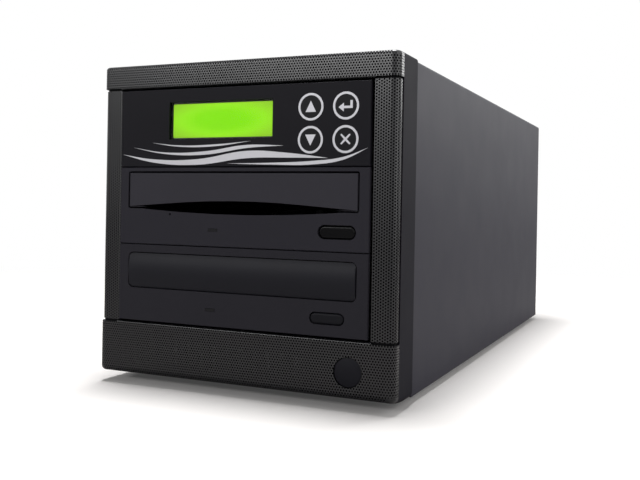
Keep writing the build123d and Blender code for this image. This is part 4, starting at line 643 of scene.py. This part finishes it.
# glass-filled nylon: dull, with the fibres showing as a fleck
FILLED_NYLON = Finish(
    "glass_filled_nylon", "#2B2B2D", roughness=0.6, specular=0.3, grain_mm=0.8, grain_um=12.0,
    stretch=(1.0, 0.3, 1.0), mottle=0.14, mottle_mm=3.0,
)
FAN_PBT = Finish(
    "moulded_pbt_fan", "#18181A", roughness=0.4, specular=0.35, grain_mm=0.5, grain_um=5.0
)
INLET_NYLON = Finish(
    "moulded_nylon_inlet", "#17171A", roughness=0.35, specular=0.4, grain_mm=0.5, grain_um=5.0
)
ROCKER_PC = Finish(
    "polished_polycarbonate_rocker", "#101012", roughness=0.2, specular=0.5, grain_um=2.0
)
ACETAL = Finish(
    "moulded_acetal_white", "#DCDBD4", roughness=0.35, grain_mm=0.6, grain_um=3.0, mottle=0.02
)
SOFT_RUBBER = Finish(
    "moulded_rubber_foot", "#171717", roughness=0.75, specular=0.3, grain_mm=0.4, grain_um=20.0
)
BOARD_GREEN = CircuitBoard(
    "lacquered_fibreglass_board", "#14502A", roughness=0.35, grain_mm=1.2, grain_um=20.0
)
RED_SHEATH = Finish(
    "pvc_sheath_red", "#8E1B1E", roughness=0.4, grain_mm=1.0, grain_um=6.0, mottle=0.05
)
BLACK_SHEATH = Finish(
    "pvc_sheath_black", "#1B1B1D", roughness=0.42, specular=0.4, grain_mm=1.0, grain_um=6.0
)


# ------------------------------------------------------------------ shaping tools
def copied(node: str, name: str) -> bpy.types.Object:
    """Copies a CAD node into an object of its own and merges its loose triangles.

    Args:
        node: the node to copy.
        name: name of the copy.

    Returns:
        The copy, a closed mesh.
    """
    piece = bpy.data.objects.new(name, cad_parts[node].data.copy())
    bpy.context.scene.collection.objects.link(piece)
    edit(piece)
    bpy.ops.mesh.remove_doubles(threshold=MERGE_GAP)
    bpy.ops.mesh.dissolve_limited(angle_limit=radians(0.8))
    deselect()
    return piece


def round_edges(
    piece: bpy.types.Object, width: float, steps: int, where: Callable[[Vector], bool]
) -> None:
    """Rounds the sharp edges of a piece that lie where a test says.

    Args:
        piece: the piece to change.
        width: size of the rounding in millimetres.
        steps: faces across it.
        where: test of an edge end's place in millimetres, which both ends have to pass.
    """
    edit(piece)
    bpy.ops.mesh.select_mode(type="EDGE")
    bpy.ops.mesh.select_all(action="DESELECT")
    bpy.ops.mesh.edges_select_sharp(sharpness=radians(40))
    bpy.ops.object.mode_set(mode="OBJECT")
    places = [vertex.co / MM for vertex in piece.data.vertices]
    for edge in piece.data.edges:
        edge.select = edge.select and all(where(places[index]) for index in edge.vertices)
    bpy.ops.object.mode_set(mode="EDIT")
    bpy.ops.mesh.bevel(offset=width * MM, segments=steps, profile=0.5, clamp_overlap=True)
    deselect()


def inked(
    name: str, outlines: Sequence[Sequence[tuple]], face_y: float, thickness: float, steps: int = 10
) -> bpy.types.Object:
    """Makes a thin flat shape that stands on an upright face, from its outlines.

    Args:
        name: name of the piece.
        outlines: closed lines of (x, z) points in millimetres, joined smoothly, where a third
            value of True makes a point a sharp corner. A line inside another one is a hole.
        face_y: the face that it stands on.
        thickness: how far it stands out from the face, towards the front.
        steps: pieces between two points.

    Returns:
        The shape as a closed mesh.
    """
    deselect()
    data = bpy.data.curves.new(name, "CURVE")
    data.dimensions = "2D"
    data.fill_mode = "BOTH"
    data.extrude = thickness / 2 * MM
    data.resolution_u = steps
    for outline in outlines:
        spline = data.splines.new("BEZIER")
        spline.use_cyclic_u = True
        spline.bezier_points.add(len(outline) - 1)
        for point, (x, z, *corner) in zip(spline.bezier_points, outline):
            point.co = (x * MM, z * MM, 0)
            kind = "VECTOR" if corner and corner[0] else "AUTO"
            point.handle_left_type = point.handle_right_type = kind
    shape = bpy.data.objects.new(name, data)
    bpy.context.scene.collection.objects.link(shape)
    activate(shape)
    bpy.ops.object.convert(target="MESH")
    shape = bpy.context.object
    shape.rotation_euler = (pi / 2, 0, 0)
    shape.location = (0, (face_y - thickness / 2) * MM, 0)
    settle(shape)
    edit(shape)
    bpy.ops.mesh.remove_doubles(threshold=MERGE_GAP)
    bpy.ops.mesh.normals_make_consistent(inside=False)
    deselect()
    return shape


def circle(x: float, z: float, radius: float, points: int = 16) -> list[tuple[float, float]]:
    """Gives the points of a circle in the XZ plane.

    Args:
        x: its centre across.
        z: its centre upright.
        radius: its radius.
        points: how many points.

    Returns:
        The points in order.
    """
    return [
        (x + radius * cos(2 * pi * i / points), z + radius * sin(2 * pi * i / points))
        for i in range(points)
    ]


def corners(points: Iterable[tuple[float, float]]) -> list[tuple[float, float, bool]]:
    """Makes every point of an outline a sharp corner."""
    return [(x, z, True) for x, z in points]


# ------------------------------------------------------------------ the perforated skins
class Rows(Enum):
    """Which way the rows of holes run in a flat sheet before it is folded."""

    ALONG = "x"
    ACROSS = "z"


@dataclass
class PerforatedSheet:
    """Steel sheet with round holes in staggered rows, modelled flat in its XZ plane."""

    pitch: float = 1.5
    hole_r: float = 0.5
    hole_sides: int = 8
    weld: float = 0.02
    rows: Rows = Rows.ALONG

    def flat(self, length: float, height: float) -> bpy.types.Object:
        """Makes a flat sheet from the origin along +X and +Z.

        Args:
            length: size along X in millimetres.
            height: size along Z in millimetres.

        Returns:
            The sheet, one face thick.
        """
        deselect()
        row = self.pitch * sqrt(3) / 2
        turn = 0.0 if self.rows is Rows.ALONG else pi / 6
        bpy.ops.mesh.primitive_circle_add(
            vertices=6, radius=self.pitch / sqrt(3) * MM, rotation=(pi / 2, turn, 0)
        )
        sheet = bpy.context.object
        bpy.ops.object.mode_set(mode="EDIT")
        bpy.ops.mesh.primitive_circle_add(
            vertices=self.hole_sides, radius=self.hole_r * MM, rotation=(pi / 2, pi / 8, 0)
        )
        bpy.ops.mesh.select_all(action="SELECT")
        bpy.ops.mesh.bridge_edge_loops()
        bpy.ops.mesh.select_all(action="SELECT")
        along = (self.pitch / 2 * MM, 0, row * MM)
        across = (row * MM, 0, self.pitch / 2 * MM)
        step = along if self.rows is Rows.ALONG else across
        bpy.ops.mesh.duplicate_move(TRANSFORM_OT_translate={"value": step})
        pitches = (self.pitch, 2 * row) if self.rows is Rows.ALONG else (2 * row, self.pitch)
        settle(sheet)
        for size, pitch, axis in ((length, pitches[0], 0), (height, pitches[1], 2)):
            offset = [0.0, 0.0, 0.0]
            offset[axis] = pitch * MM
            apply_modifier(
                sheet, "ARRAY", count=int(size / pitch) + 3, use_relative_offset=False,
                use_constant_offset=True, constant_offset_displace=offset,
            )
        edit(sheet)
        bpy.ops.mesh.remove_doubles(threshold=self.weld * MM)
        bpy.ops.transform.translate(value=(-self.pitch * MM, 0, -self.pitch * MM))
        for place, normal in (
            ((0, 0, 0), (-1, 0, 0)), ((length, 0, 0), (1, 0, 0)),
            ((0, 0, 0), (0, 0, -1)), ((0, 0, height), (0, 0, 1)),
        ):
            self.trim(place, normal)
        deselect()
        return sheet

    @staticmethod
    def trim(place: Sequence[float], normal: Sequence[float], clear: bool = True) -> None:
        """Cuts the selection of the edited sheet at a plane.

        Args:
            place: a point of the plane in millimetres.
            normal: direction of the side that goes.
            clear: whether that side is taken away or only parted by a line of edges.
        """
        if clear:
            bpy.ops.mesh.select_all(action="SELECT")
        bpy.ops.mesh.bisect(
            plane_co=[c * MM for c in place], plane_no=normal, clear_outer=clear, threshold=CUT_GAP
        )

    @staticmethod
    def drop(sheet: bpy.types.Object, test: Any) -> None:
        """Deletes the faces whose centre, in millimetres, passes a test."""
        edit(sheet)
        if pick(sheet, "FACE", lambda face: test(face.center / MM)):
            bpy.ops.mesh.delete(type="FACE")
        deselect()

    @staticmethod
    def bend(sheet: bpy.types.Object, points: Sequence[tuple[float, float]]) -> None:
        """Lays the sheet's X along a path in the XY plane.

        Args:
            sheet: the flat sheet, starting at X of 0.
            points: the path in millimetres.
        """
        data = bpy.data.curves.new("fold", "CURVE")
        data.dimensions = "2D"
        spline = data.splines.new("POLY")
        spline.points.add(len(points) - 1)
        for point, (x, y) in zip(spline.points, points):
            point.co = (x * MM, y * MM, 0, 1)
        curve = bpy.data.objects.new("fold", data)
        bpy.context.scene.collection.objects.link(curve)
        apply_modifier(sheet, "CURVE", object=curve, deform_axis="POS_X")
        bpy.data.objects.remove(curve)
        bpy.data.curves.remove(data)

    @staticmethod
    def thicken(sheet: bpy.types.Object, outside: Vector, thickness: float) -> None:
        """Turns the sheet's faces outwards and gives it its thickness inwards.

        Args:
            sheet: the folded sheet.
            outside: direction that the widest flat part faces.
            thickness: in millimetres.
        """
        facing = sum(
            (face.normal * face.area for face in sheet.data.polygons), Vector((0, 0, 0))
        )
        if facing.dot(outside) < 0:
            edit(sheet)
            bpy.ops.mesh.flip_normals()
            deselect()
        apply_modifier(
            sheet, "SOLIDIFY", thickness=thickness * MM, offset=-1.0, use_rim=True,
            use_even_offset=False,
        )


@dataclass
class MeshSkins:
    """The four perforated skins on the plastic front, each folded from one flat sheet."""

    tower: Tower
    finish: Finish
    fold_r: float = 0.5
    face_depth: float = 0.2  # how near the flat front counts as on it
    web_reach: float = 0.35  # how far a face may reach past the power hole's edge

    def build(self) -> None:
        """Makes the two pillar skins and the two bands."""
        self.pillar("mesh_left", -1)
        self.pillar("mesh_right", 1)
        self.band("mesh_top")
        self.band("mesh_bottom")

    def pillar(self, name: str, side: int) -> None:
        """One upright skin: folded in at the bays, rounded at the outer edge.

        Args:
            name: the CAD node that it stands for.
            side: -1 for the left one, 1 for the right one.
        """
        t = self.tower
        fold_x = side * (t.open_half - t.skin_t)
        outer_x = side * t.pillar_half
        corners = [
            (fold_x, t.pillar_y + t.skin_t + t.skin_fold, 0.0),
            (fold_x, t.pillar_y, self.fold_r),
            (outer_x, t.pillar_y, t.side_edge_r),
            (outer_x, t.skin_end, 0.0),
        ]
        points = rounded_path(corners if side > 0 else corners[::-1])
        low = t.open_base + t.skin_parting
        high = t.open_top - t.skin_parting
        sheets = PerforatedSheet(rows=Rows.ACROSS)
        sheet = sheets.flat(path_lengths(points)[-1], high - low)
        sheets.bend(sheet, points)
        edit(sheet)
        bpy.ops.transform.translate(value=(0, 0, low * MM))
        deselect()
        sheets.thicken(sheet, Vector((0, -1, 0)), t.skin_t)
        skin = finish_piece(sheet, f"{name}_perforated", CASE, self.finish)
        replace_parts(skin, name)

    def band_path(self, top: bool) -> list[tuple[float, float]]:
        """Section of a band in the YZ plane, from the end nearest the floor upwards."""
        t = self.tower
        back = t.band_y + t.skin_t + t.skin_fold
        if top:
            fold_z = t.open_top - t.skin_t
            corners = [
                (back, fold_z, 0.0), (t.band_y, fold_z, self.fold_r),
                (t.band_y, t.top_z, t.top_edge_r), (t.skin_end, t.top_z, 0.0),
            ]
        else:
            fold_z = t.open_base + t.skin_t
            arc_r = (t.bottom_run**2 + t.bottom_rise**2) / (2 * t.bottom_rise)
            left_over = t.bottom_run - (t.skin_end - t.band_y)
            end_z = t.base_z + arc_r - sqrt(arc_r**2 - left_over**2)
            corners = [
                (t.skin_end, end_z, 0.0), (t.band_y, t.base_z + t.bottom_rise, t.bottom_edge_r),
                (t.band_y, fold_z, self.fold_r), (back, fold_z, 0.0),
            ]
        return rounded_path(corners)

    def band(self, name: str) -> None:
        """The top or the bottom skin, folded at four edges round the front.

        Args:
            name: the CAD node that it stands for.
        """
        t = self.tower
        top = name == "mesh_top"
        section = self.band_path(top)
        lengths = path_lengths(section)
        corner_x = t.half_w - t.side_edge_r
        around = rounded_path(
            [
                (-t.half_w, t.skin_end, 0.0), (-t.half_w, t.band_y, t.side_edge_r),
                (t.half_w, t.band_y, t.side_edge_r), (t.half_w, t.skin_end, 0.0),
            ]
        )
        reach = path_lengths(around)[-1] / 2
        sheets = PerforatedSheet(rows=Rows.ACROSS)
        sheet = sheets.flat(lengths[-1], 2 * reach)
        edit(sheet)
        bpy.ops.transform.translate(value=(0, 0, -reach * MM))
        # where the flat front starts and ends along the section
        front = [s for s, (y, _) in zip(lengths, section) if abs(y - t.band_y) < NEAR_MM]
        front_start, front_end = front[0], front[-1]
        if top:
            fold_line = front_start + (t.open_top - section[lengths.index(front_start)][1])
            edge_line = front_end
        else:
            fold_line = front_end - (section[lengths.index(front_end)][1] - t.open_base)
            edge_line = front_start
        for line in (fold_line, edge_line):
            bpy.ops.mesh.select_all(action="SELECT")
            sheets.trim((line, 0, 0), (1, 0, 0), clear=False)
        for width in (t.open_half, corner_x):
            for sign in (-1, 1):
                bpy.ops.mesh.select_all(action="SELECT")
                sheets.trim((0, 0, sign * width), (0, 0, 1), clear=False)
        in_fold = (lambda s: s < fold_line) if top else (lambda s: s > fold_line)
        past_edge = (lambda s: s > edge_line) if top else (lambda s: s < edge_line)
        sheets.drop(
            sheet,
            lambda c: (in_fold(c.x) and abs(c.z) > t.open_half)
            or (past_edge(c.x) and abs(c.z) > corner_x),
        )
        sheets.bend(sheet, section)
        sheet.matrix_world = Matrix(((0, 0, 1, 0), (1, 0, 0, 0), (0, 1, 0, 0), (0, 0, 0, 1)))
        settle(sheet)
        if not top:
            self.cut_power_hole(sheet)
        edit(sheet)
        bpy.ops.transform.translate(value=(reach * MM, -t.band_y * MM, 0))
        deselect()
        sheets.bend(sheet, around)
        sheets.thicken(sheet, Vector((0, -1, 0)), t.skin_t)
        edge_z = t.top_z - t.top_edge_r if top else section[lengths.index(front_start)][1]
        corners = [self.corner(name, side, corner_x, edge_z, top) for side in (-1, 1)]
        skin = finish_piece(
            joined(name, [sheet, *corners]), f"{name}_perforated", CASE, self.finish
        )
        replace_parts(skin, name)

    def cut_power_hole(self, sheet: bpy.types.Object) -> None:
        """Rounds the sheet's edge off where the power button comes through."""
        t = self.tower
        middle = Vector((t.power_x, t.band_y, t.power_z))
        radius = t.power_hole_r
        on_face = lambda c: abs(c.y - t.band_y) < self.face_depth
        PerforatedSheet.drop(
            sheet, lambda c: on_face(c) and (c - middle).length < radius - self.web_reach
        )
        for vertex in sheet.data.vertices:
            place = vertex.co / MM
            away = place - middle
            if on_face(place) and away.length < radius:
                vertex.co = (middle + away.normalized() * radius) * MM

    def corner(
        self, name: str, side: int, corner_x: float, edge_z: float, top: bool
    ) -> bpy.types.Object:
        """The plain pressed corner of a band, cut from the CAD skin.

        Args:
            name: the CAD node to copy.
            side: -1 for the left corner, 1 for the right one.
            corner_x: where the corner begins across.
            edge_z: where the corner begins upright.
            top: whether the corner is above edge_z.

        Returns:
            The corner as a closed shell.
        """
        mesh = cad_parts[name].data.copy()
        patch = bpy.data.objects.new(f"{name}_corner", mesh)
        bpy.context.scene.collection.objects.link(patch)
        edit(patch)
        bpy.ops.mesh.remove_doubles(threshold=MERGE_GAP)
        for place, normal in (
            ((side * corner_x * MM, 0, 0), (-side, 0, 0)),
            ((0, 0, edge_z * MM), (0, 0, -1 if top else 1)),
        ):
            bpy.ops.mesh.select_all(action="SELECT")
            bpy.ops.mesh.bisect(
                plane_co=place, plane_no=normal, clear_outer=True, use_fill=True, threshold=CUT_GAP
            )
        deselect()
        return patch


# ------------------------------------------------------------------ controller
@dataclass
class ControllerFace:
    """The controller's front: display, four keys and a printed ornament on a dark film."""

    front_y: float = TOWER.front_y
    view_centre: tuple[float, float, float] = (-11.1, -197.7, 145.6)
    view_size: tuple[float, float] = (61.0, 18.2)
    view_corner: float = 0.5
    view_t: float = 0.1
    key_x: tuple[float, float] = (41.9, 60.9)
    key_z: tuple[float, float] = (150.6, 134.1)
    ring_outer: float = 6.9
    ring_width: float = 1.15
    ink: float = 0.05

    def build(self) -> None:
        """Makes the lit display, the ornament and the marks on the keys, and dresses the rest."""
        dress("controller_panel", PANEL_FILM)
        dress("lcd_window", CLEAR_ACRYLIC)
        dress("lcd_module", TINNED_FRAME)
        self.display()
        self.ornament()
        for body, mark in self.marks().items():
            dress(body, KEY_CAP)
            self.key_print(body, mark)

    def display(self) -> None:
        """The lit area of the display, behind its window."""
        x, y, z = self.view_centre
        half_w, half_h = self.view_size[0] / 2, self.view_size[1] / 2
        cut = self.view_corner
        outline = corners(
            [
                (x - half_w + cut, z - half_h), (x + half_w - cut, z - half_h),
                (x + half_w, z - half_h + cut), (x + half_w, z + half_h - cut),
                (x + half_w - cut, z + half_h), (x - half_w + cut, z + half_h),
                (x - half_w, z + half_h - cut), (x - half_w, z - half_h + cut),
            ]
        )
        lit = LitFinish(
            "backlit_display", "#86E700", centre=self.view_centre, half_size=(half_w, half_h)
        )
        shape = inked("display_light", [outline], y, self.view_t)
        finish_piece(shape, "display_light", CASE, lit)

    def ornament(self) -> None:
        """A plain set of ribbons that sweep from the left and fan out, printed in silver."""
        ribbons = (
            ((-73, 127.6, 0), (-52, 123.9, 0.9), (-24, 123.3, 1.5), (6, 127.0, 1.9),
             (30, 126.4, 1.2), (52, 124.9, 0)),
            ((-66, 131.4, 0), (-46, 128.2, 0.4), (-20, 128.0, 0.9), (6, 131.2, 0.8),
             (27, 131.4, 0)),
            ((-54, 133.9, 0), (-36, 131.9, 0.35), (-14, 132.0, 0.5), (8, 134.0, 0.0)),
            ((-6, 122.4, 0), (20, 122.2, 0.5), (43, 122.6, 0.9), (60, 124.7, 0.7), (73, 129.8, 0)),
        )
        outlines = []
        for ribbon in ribbons:
            over = [(x, z + half, half == 0) for x, z, half in ribbon]
            under = [(x, z - half) for x, z, half in ribbon if half]
            outlines.append(over + under[::-1])
        shape = inked("ornament", outlines, self.front_y, self.ink, steps=8)
        finish_piece(shape, "ornament", CASE, SILVER_INK)

    def marks(self) -> dict[str, list[tuple]]:
        """Gives the outline of each key's mark, round the key's centre.

        Returns:
            The outline for each key's body.
        """
        arm, half = 2.7, 0.55
        cross = [
            (0, half * sqrt(2)), (arm - half, arm), (arm, arm - half), (half * sqrt(2), 0),
            (arm, half - arm), (arm - half, -arm), (0, -half * sqrt(2)), (half - arm, -arm),
            (-arm, half - arm), (-half * sqrt(2), 0), (-arm, arm - half), (half - arm, arm),
        ]
        back_arrow = [
            (-4.0, -0.7), (-1.1, 1.5), (-1.1, -0.1), (2.3, -0.1), (2.3, 2.6), (3.6, 2.6),
            (3.6, -1.3), (-1.1, -1.3), (-1.1, -2.9),
        ]
        return {
            "key_up": [(-2.9, -2.6), (2.9, -2.6), (0.0, 3.0)],
            "key_down": [(-2.9, 2.6), (0.0, -3.0), (2.9, 2.6)],
            "key_enter": back_arrow,
            "key_escape": cross,
        }

    def key_print(self, body: str, mark: Sequence[tuple[float, float]]) -> None:
        """Prints a ring and a mark on one key.

        Args:
            body: the key's body.
            mark: outline of the mark round the key's centre.
        """
        x = self.key_x[body in ("key_enter", "key_escape")]
        z = self.key_z[body in ("key_down", "key_escape")]
        outlines = [
            circle(x, z, self.ring_outer), circle(x, z, self.ring_outer - self.ring_width),
            corners((x + across, z + up) for across, up in mark),
        ]
        shape = inked(f"{body}_print", outlines, self.front_y, self.ink, steps=4)
        finish_piece(shape, f"{body}_print", body, SILVER_INK)


# ------------------------------------------------------------------ drives
class Bay(Enum):
    """The two drives."""

    UPPER = "upper"
    LOWER = "lower"


@dataclass
class DriveFace:
    """A disc drive's front, with its tray front and its eject button."""

    bay: Bay
    front_y: float = TOWER.front_y
    pill_round: float = 1.2
    edge_round: float = 0.3
    tray_round: float = 0.45
    face_depth: float = 0.05  # how near the front an edge counts as in it

    def build(self) -> None:
        """Rounds the moulded edges of the front, tray front and button, and dresses the rest."""
        which = self.bay.value
        front, tray, button = {
            Bay.UPPER: (UPPER_DRIVE_ABS, UPPER_TRAY_ABS, GLOSSY_ABS),
            Bay.LOWER: (LOWER_DRIVE_ABS, LOWER_TRAY_ABS, SATIN_ABS),
        }[self.bay]
        self.moulding(f"{which}_drive_bezel", CASE, front, self.edge_round)
        self.moulding(
            f"{which}_tray_front", f"{which}_tray", tray, self.tray_round
        )
        self.moulding(
            f"{which}_eject_button", f"{which}_eject_button", button,
            self.pill_round, steps=5,
        )
        dress(f"{which}_tray", TRAY_ABS)
        dress(f"{which}_pinion", ACETAL)
        dress(f"{which}_drive_shell", TIN_SHEET)
        dress(f"{which}_loader_frame", FILLED_NYLON)
        dress(f"{which}_turntable", FILLED_NYLON)
        dress(f"{which}_disc_clamp", ACETAL)
        dress(f"{which}_pickup", FILLED_NYLON)
        dress(f"{which}_lead_screw", GROUND_STEEL)

    def moulding(
        self, node: str, body: str, finish: Finish, width: float, steps: int = 2
    ) -> None:
        """Replaces a node by a copy whose front edges are rounded.

        Args:
            node: the CAD node.
            body: the body it rides on.
            finish: what it is made of.
            width: size of the rounding in millimetres.
            steps: faces across the rounding.
        """
        piece = copied(node, f"{node}_moulded")
        face_y = min(vertex.co.y for vertex in piece.data.vertices) / MM
        limit_y = max(face_y, self.front_y) + self.face_depth
        round_edges(piece, width, steps, lambda c: c.y < limit_y)
        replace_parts(finish_piece(piece, f"{node}_moulded", body, finish, 50, flat=True), node)


# ------------------------------------------------------------------ the rest of the case
@dataclass
class Case:
    """The parts of the case and its works that keep the shape of the CAD model."""

    rocker_x: float = -46.0
    rocker_on: tuple[float, float, float] = (197.02, 37.3, -0.6)  # y, z and slope of its face
    rocker_off: tuple[float, float, float] = (197.94, 31.4, 18.6)
    mark_half: float = 1.7
    mark_width: float = 0.6
    mark_t: float = 0.1

    def rocker_marks(self) -> None:
        """Prints the bar and the ring of on and off on the rocker's two faces."""
        half, width = self.mark_half, self.mark_width
        side = width / 2
        bar = [corners([(-side, -half), (side, -half), (side, half), (-side, half)])]
        ring = [circle(0, 0, half), circle(0, 0, half - width)]
        for name, lines, (y, z, slope) in (
            ("rocker_on_mark", bar, self.rocker_on), ("rocker_off_mark", ring, self.rocker_off),
        ):
            mark = inked(name, lines, self.mark_t / 2, self.mark_t, steps=4)
            mark.rotation_euler = (radians(slope), 0, 0)
            mark.location = (self.rocker_x * MM, y * MM, z * MM)
            finish_piece(mark, name, "psu_rocker", WHITE_INK)

    def build(self) -> None:
        """Gives every remaining CAD part its finish."""
        self.rocker_marks()
        finishes: dict[Finish, tuple[str, ...]] = {
            COVER_PAINT: ("steel_cover",),
            FRONT_ABS: ("front_bezel",),
            POWER_ABS: ("power_button",),
            ZINC_SHEET: ("chassis_base", "drive_cage", "rear_panel", "psu_case"),
            SOFT_RUBBER: ("rubber_feet",),
            NICKEL_SCREW: ("drive_screws",),
            BLACK_SCREW: ("case_screws",),
            TIN_SHEET: ("controller_sled",),
            BOARD_GREEN: ("front_board", "controller_board", "drive_boards", "psu_board"),
            SMOKED_LENS: ("led_lenses",),
            GROUND_STEEL: ("guide_rods",),
            FAN_PBT: ("psu_fan_frame", "psu_fan_rotor", "case_fan_frame", "case_fan_rotor"),
            INLET_NYLON: ("mains_inlet", "power_switch"),
            ROCKER_PC: ("psu_rocker",),
            RED_SHEATH: ("data_cables",),
            BLACK_SHEATH: ("power_leads",),
        }
        for finish, nodes in finishes.items():
            for node in nodes:
                dress(node, finish)


# ------------------------------------------------------------------ room, light and camera
@dataclass(frozen=True)
class Lamp:
    """A soft lamp: its place, its aim, its width and height in metres, its watts."""

    name: str
    place: tuple[float, float, float]
    aim: tuple[float, float, float]
    size: tuple[float, float]
    power: float


@dataclass
class Studio:
    """A pale floor, soft lamps and the camera of the photograph."""

    camera_at: tuple[float, float, float] = (0.2165, -0.5761, 0.1020)
    yaw: float = 24.197
    pitch: float = -0.0665
    roll: float = 1.0198
    lens: float = 46.526
    sensor: float = 36.0
    shift_y: float = -0.0547
    clip: tuple[float, float] = (0.01, 50.0)
    floor_size: float = 12.0
    floor_glow: float = 0.05
    sky: float = 0.1  # what the world lights the object with
    floor_fade: tuple[float, float] = (0.42, 0.75)  # where the floor runs out into white
    lamps: tuple[Lamp, ...] = (
        Lamp("lamp_top", (-0.06, -0.02, 1.3), (0.0, -0.05, 0.0), (0.5, 0.5), 21.0),
        Lamp("lamp_front", (-0.6, -1.45, 0.58), (0.0, -0.2, 0.14), (0.8, 0.18), 5.0),
        Lamp("lamp_fill", (1.35, -0.45, 0.6), (0.0, 0.0, 0.08), (1.2, 1.2), 4.8),
        Lamp("lamp_rear", (0.9, 1.6, 0.75), (0.05, 0.1, 0.1), (0.7, 0.7), 6.0),
    )

    def build(self) -> None:
        """Makes the floor, the world, the lamps and the camera."""
        self.floor()
        self.world()
        for lamp in self.lamps:
            self.hang(lamp)
        self.camera()

    def floor(self) -> None:
        """Lays white paper that keeps the soft shadow and runs out into the white background."""
        deselect()
        bpy.ops.mesh.primitive_plane_add(size=self.floor_size)
        floor = bpy.context.object
        floor.name = "floor"
        material = bpy.data.materials.new("white_paper")
        material.use_nodes = True
        tree = material.node_tree
        tree.nodes.clear()
        paper = add_node(tree, "ShaderNodeBsdfDiffuse", {"Color": linear("#B9B6B4")})
        bright = add_node(tree, "ShaderNodeBsdfDiffuse", {"Color": linear("#FFFCFA")})
        glow, white = (
            add_node(tree, "ShaderNodeEmission", {"Color": (1, 1, 1, 1), "Strength": strength})
            for strength in (self.floor_glow, 1.0)
        )
        seen = add_node(tree, "ShaderNodeLightPath")
        place = add_node(tree, "ShaderNodeTexCoord").outputs["Object"]
        reach = add_node(tree, "ShaderNodeVectorMath", {0: place}, operation="LENGTH")
        fade = add_node(
            tree, "ShaderNodeMapRange",
            {
                "Value": reach.outputs["Value"],
                "From Min": self.floor_fade[0], "From Max": self.floor_fade[1],
            },
        )
        lit = add_node(tree, "ShaderNodeAddShader", {0: bright.outputs[0], 1: glow.outputs[0]})
        shown = add_node(
            tree, "ShaderNodeMixShader",
            {0: fade.outputs[0], 1: lit.outputs[0], 2: white.outputs[0]},
        )
        mix = add_node(
            tree, "ShaderNodeMixShader",
            {0: seen.outputs["Is Camera Ray"], 1: paper.outputs[0], 2: shown.outputs[0]},
        )
        add_node(tree, "ShaderNodeOutputMaterial", {"Surface": mix.outputs[0]})
        floor.data.materials.append(material)

    def world(self) -> None:
        """Makes a soft even sky, which the camera, metal and glass see as white."""
        world = bpy.data.worlds.new("studio")
        bpy.context.scene.world = world
        world.use_nodes = True
        tree = world.node_tree
        tree.nodes.clear()
        seen = add_node(tree, "ShaderNodeLightPath").outputs
        shown = add_node(
            tree, "ShaderNodeMath",
            {0: seen["Is Camera Ray"], 1: seen["Is Transmission Ray"]}, operation="MAXIMUM",
        )
        shown = add_node(
            tree, "ShaderNodeMath", {0: shown.outputs[0], 1: seen["Is Glossy Ray"]},
            operation="MAXIMUM",
        )
        strength = add_node(
            tree, "ShaderNodeMapRange",
            {"Value": shown.outputs[0], "To Min": self.sky, "To Max": 1.0},
        )
        sky = add_node(
            tree, "ShaderNodeBackground",
            {"Color": (1, 1, 1, 1), "Strength": strength.outputs[0]},
        )
        add_node(tree, "ShaderNodeOutputWorld", {"Surface": sky.outputs[0]})

    def hang(self, lamp: Lamp) -> None:
        """Hangs one lamp.

        Args:
            lamp: its place, aim, size and power.
        """
        data = bpy.data.lights.new(lamp.name, "AREA")
        data.shape = "RECTANGLE"
        data.size, data.size_y = lamp.size
        data.energy = lamp.power
        hung = bpy.data.objects.new(lamp.name, data)
        bpy.context.scene.collection.objects.link(hung)
        hung.location = lamp.place
        along = Vector(lamp.aim) - Vector(lamp.place)
        hung.rotation_euler = along.to_track_quat("-Z", "Y").to_euler()

    def camera(self) -> None:
        """Sets up the photograph's camera, at the front right and half the tower's height."""
        data = bpy.data.cameras.new("camera")
        data.lens = self.lens
        data.sensor_width = self.sensor
        data.shift_y = self.shift_y
        data.clip_start, data.clip_end = self.clip
        camera = bpy.data.objects.new("camera", data)
        bpy.context.scene.collection.objects.link(camera)
        yaw, pitch, roll = radians(self.yaw), radians(self.pitch), radians(self.roll)
        ahead = Vector((-sin(yaw) * cos(pitch), cos(yaw) * cos(pitch), sin(pitch)))
        turn = ahead.to_track_quat("-Z", "Y").to_matrix().to_4x4()
        turn = turn @ Matrix.Rotation(roll, 4, "Z")
        camera.matrix_world = Matrix.Translation(self.camera_at) @ turn
        bpy.context.scene.camera = camera


def main() -> None:
    """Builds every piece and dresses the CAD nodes."""
    logging.basicConfig(level=logging.INFO, format="%(name)s: %(message)s")
    bpy.context.scene.view_settings.view_transform = "Standard"
    Studio().build()
    for piece in (
        MeshSkins(TOWER, MESH_LACQUER), ControllerFace(), DriveFace(Bay.UPPER),
        DriveFace(Bay.LOWER), Case(),
    ):
        piece.build()
        LOG.info("%s built", type(piece).__name__)


if __name__ == "__main__":
    main()
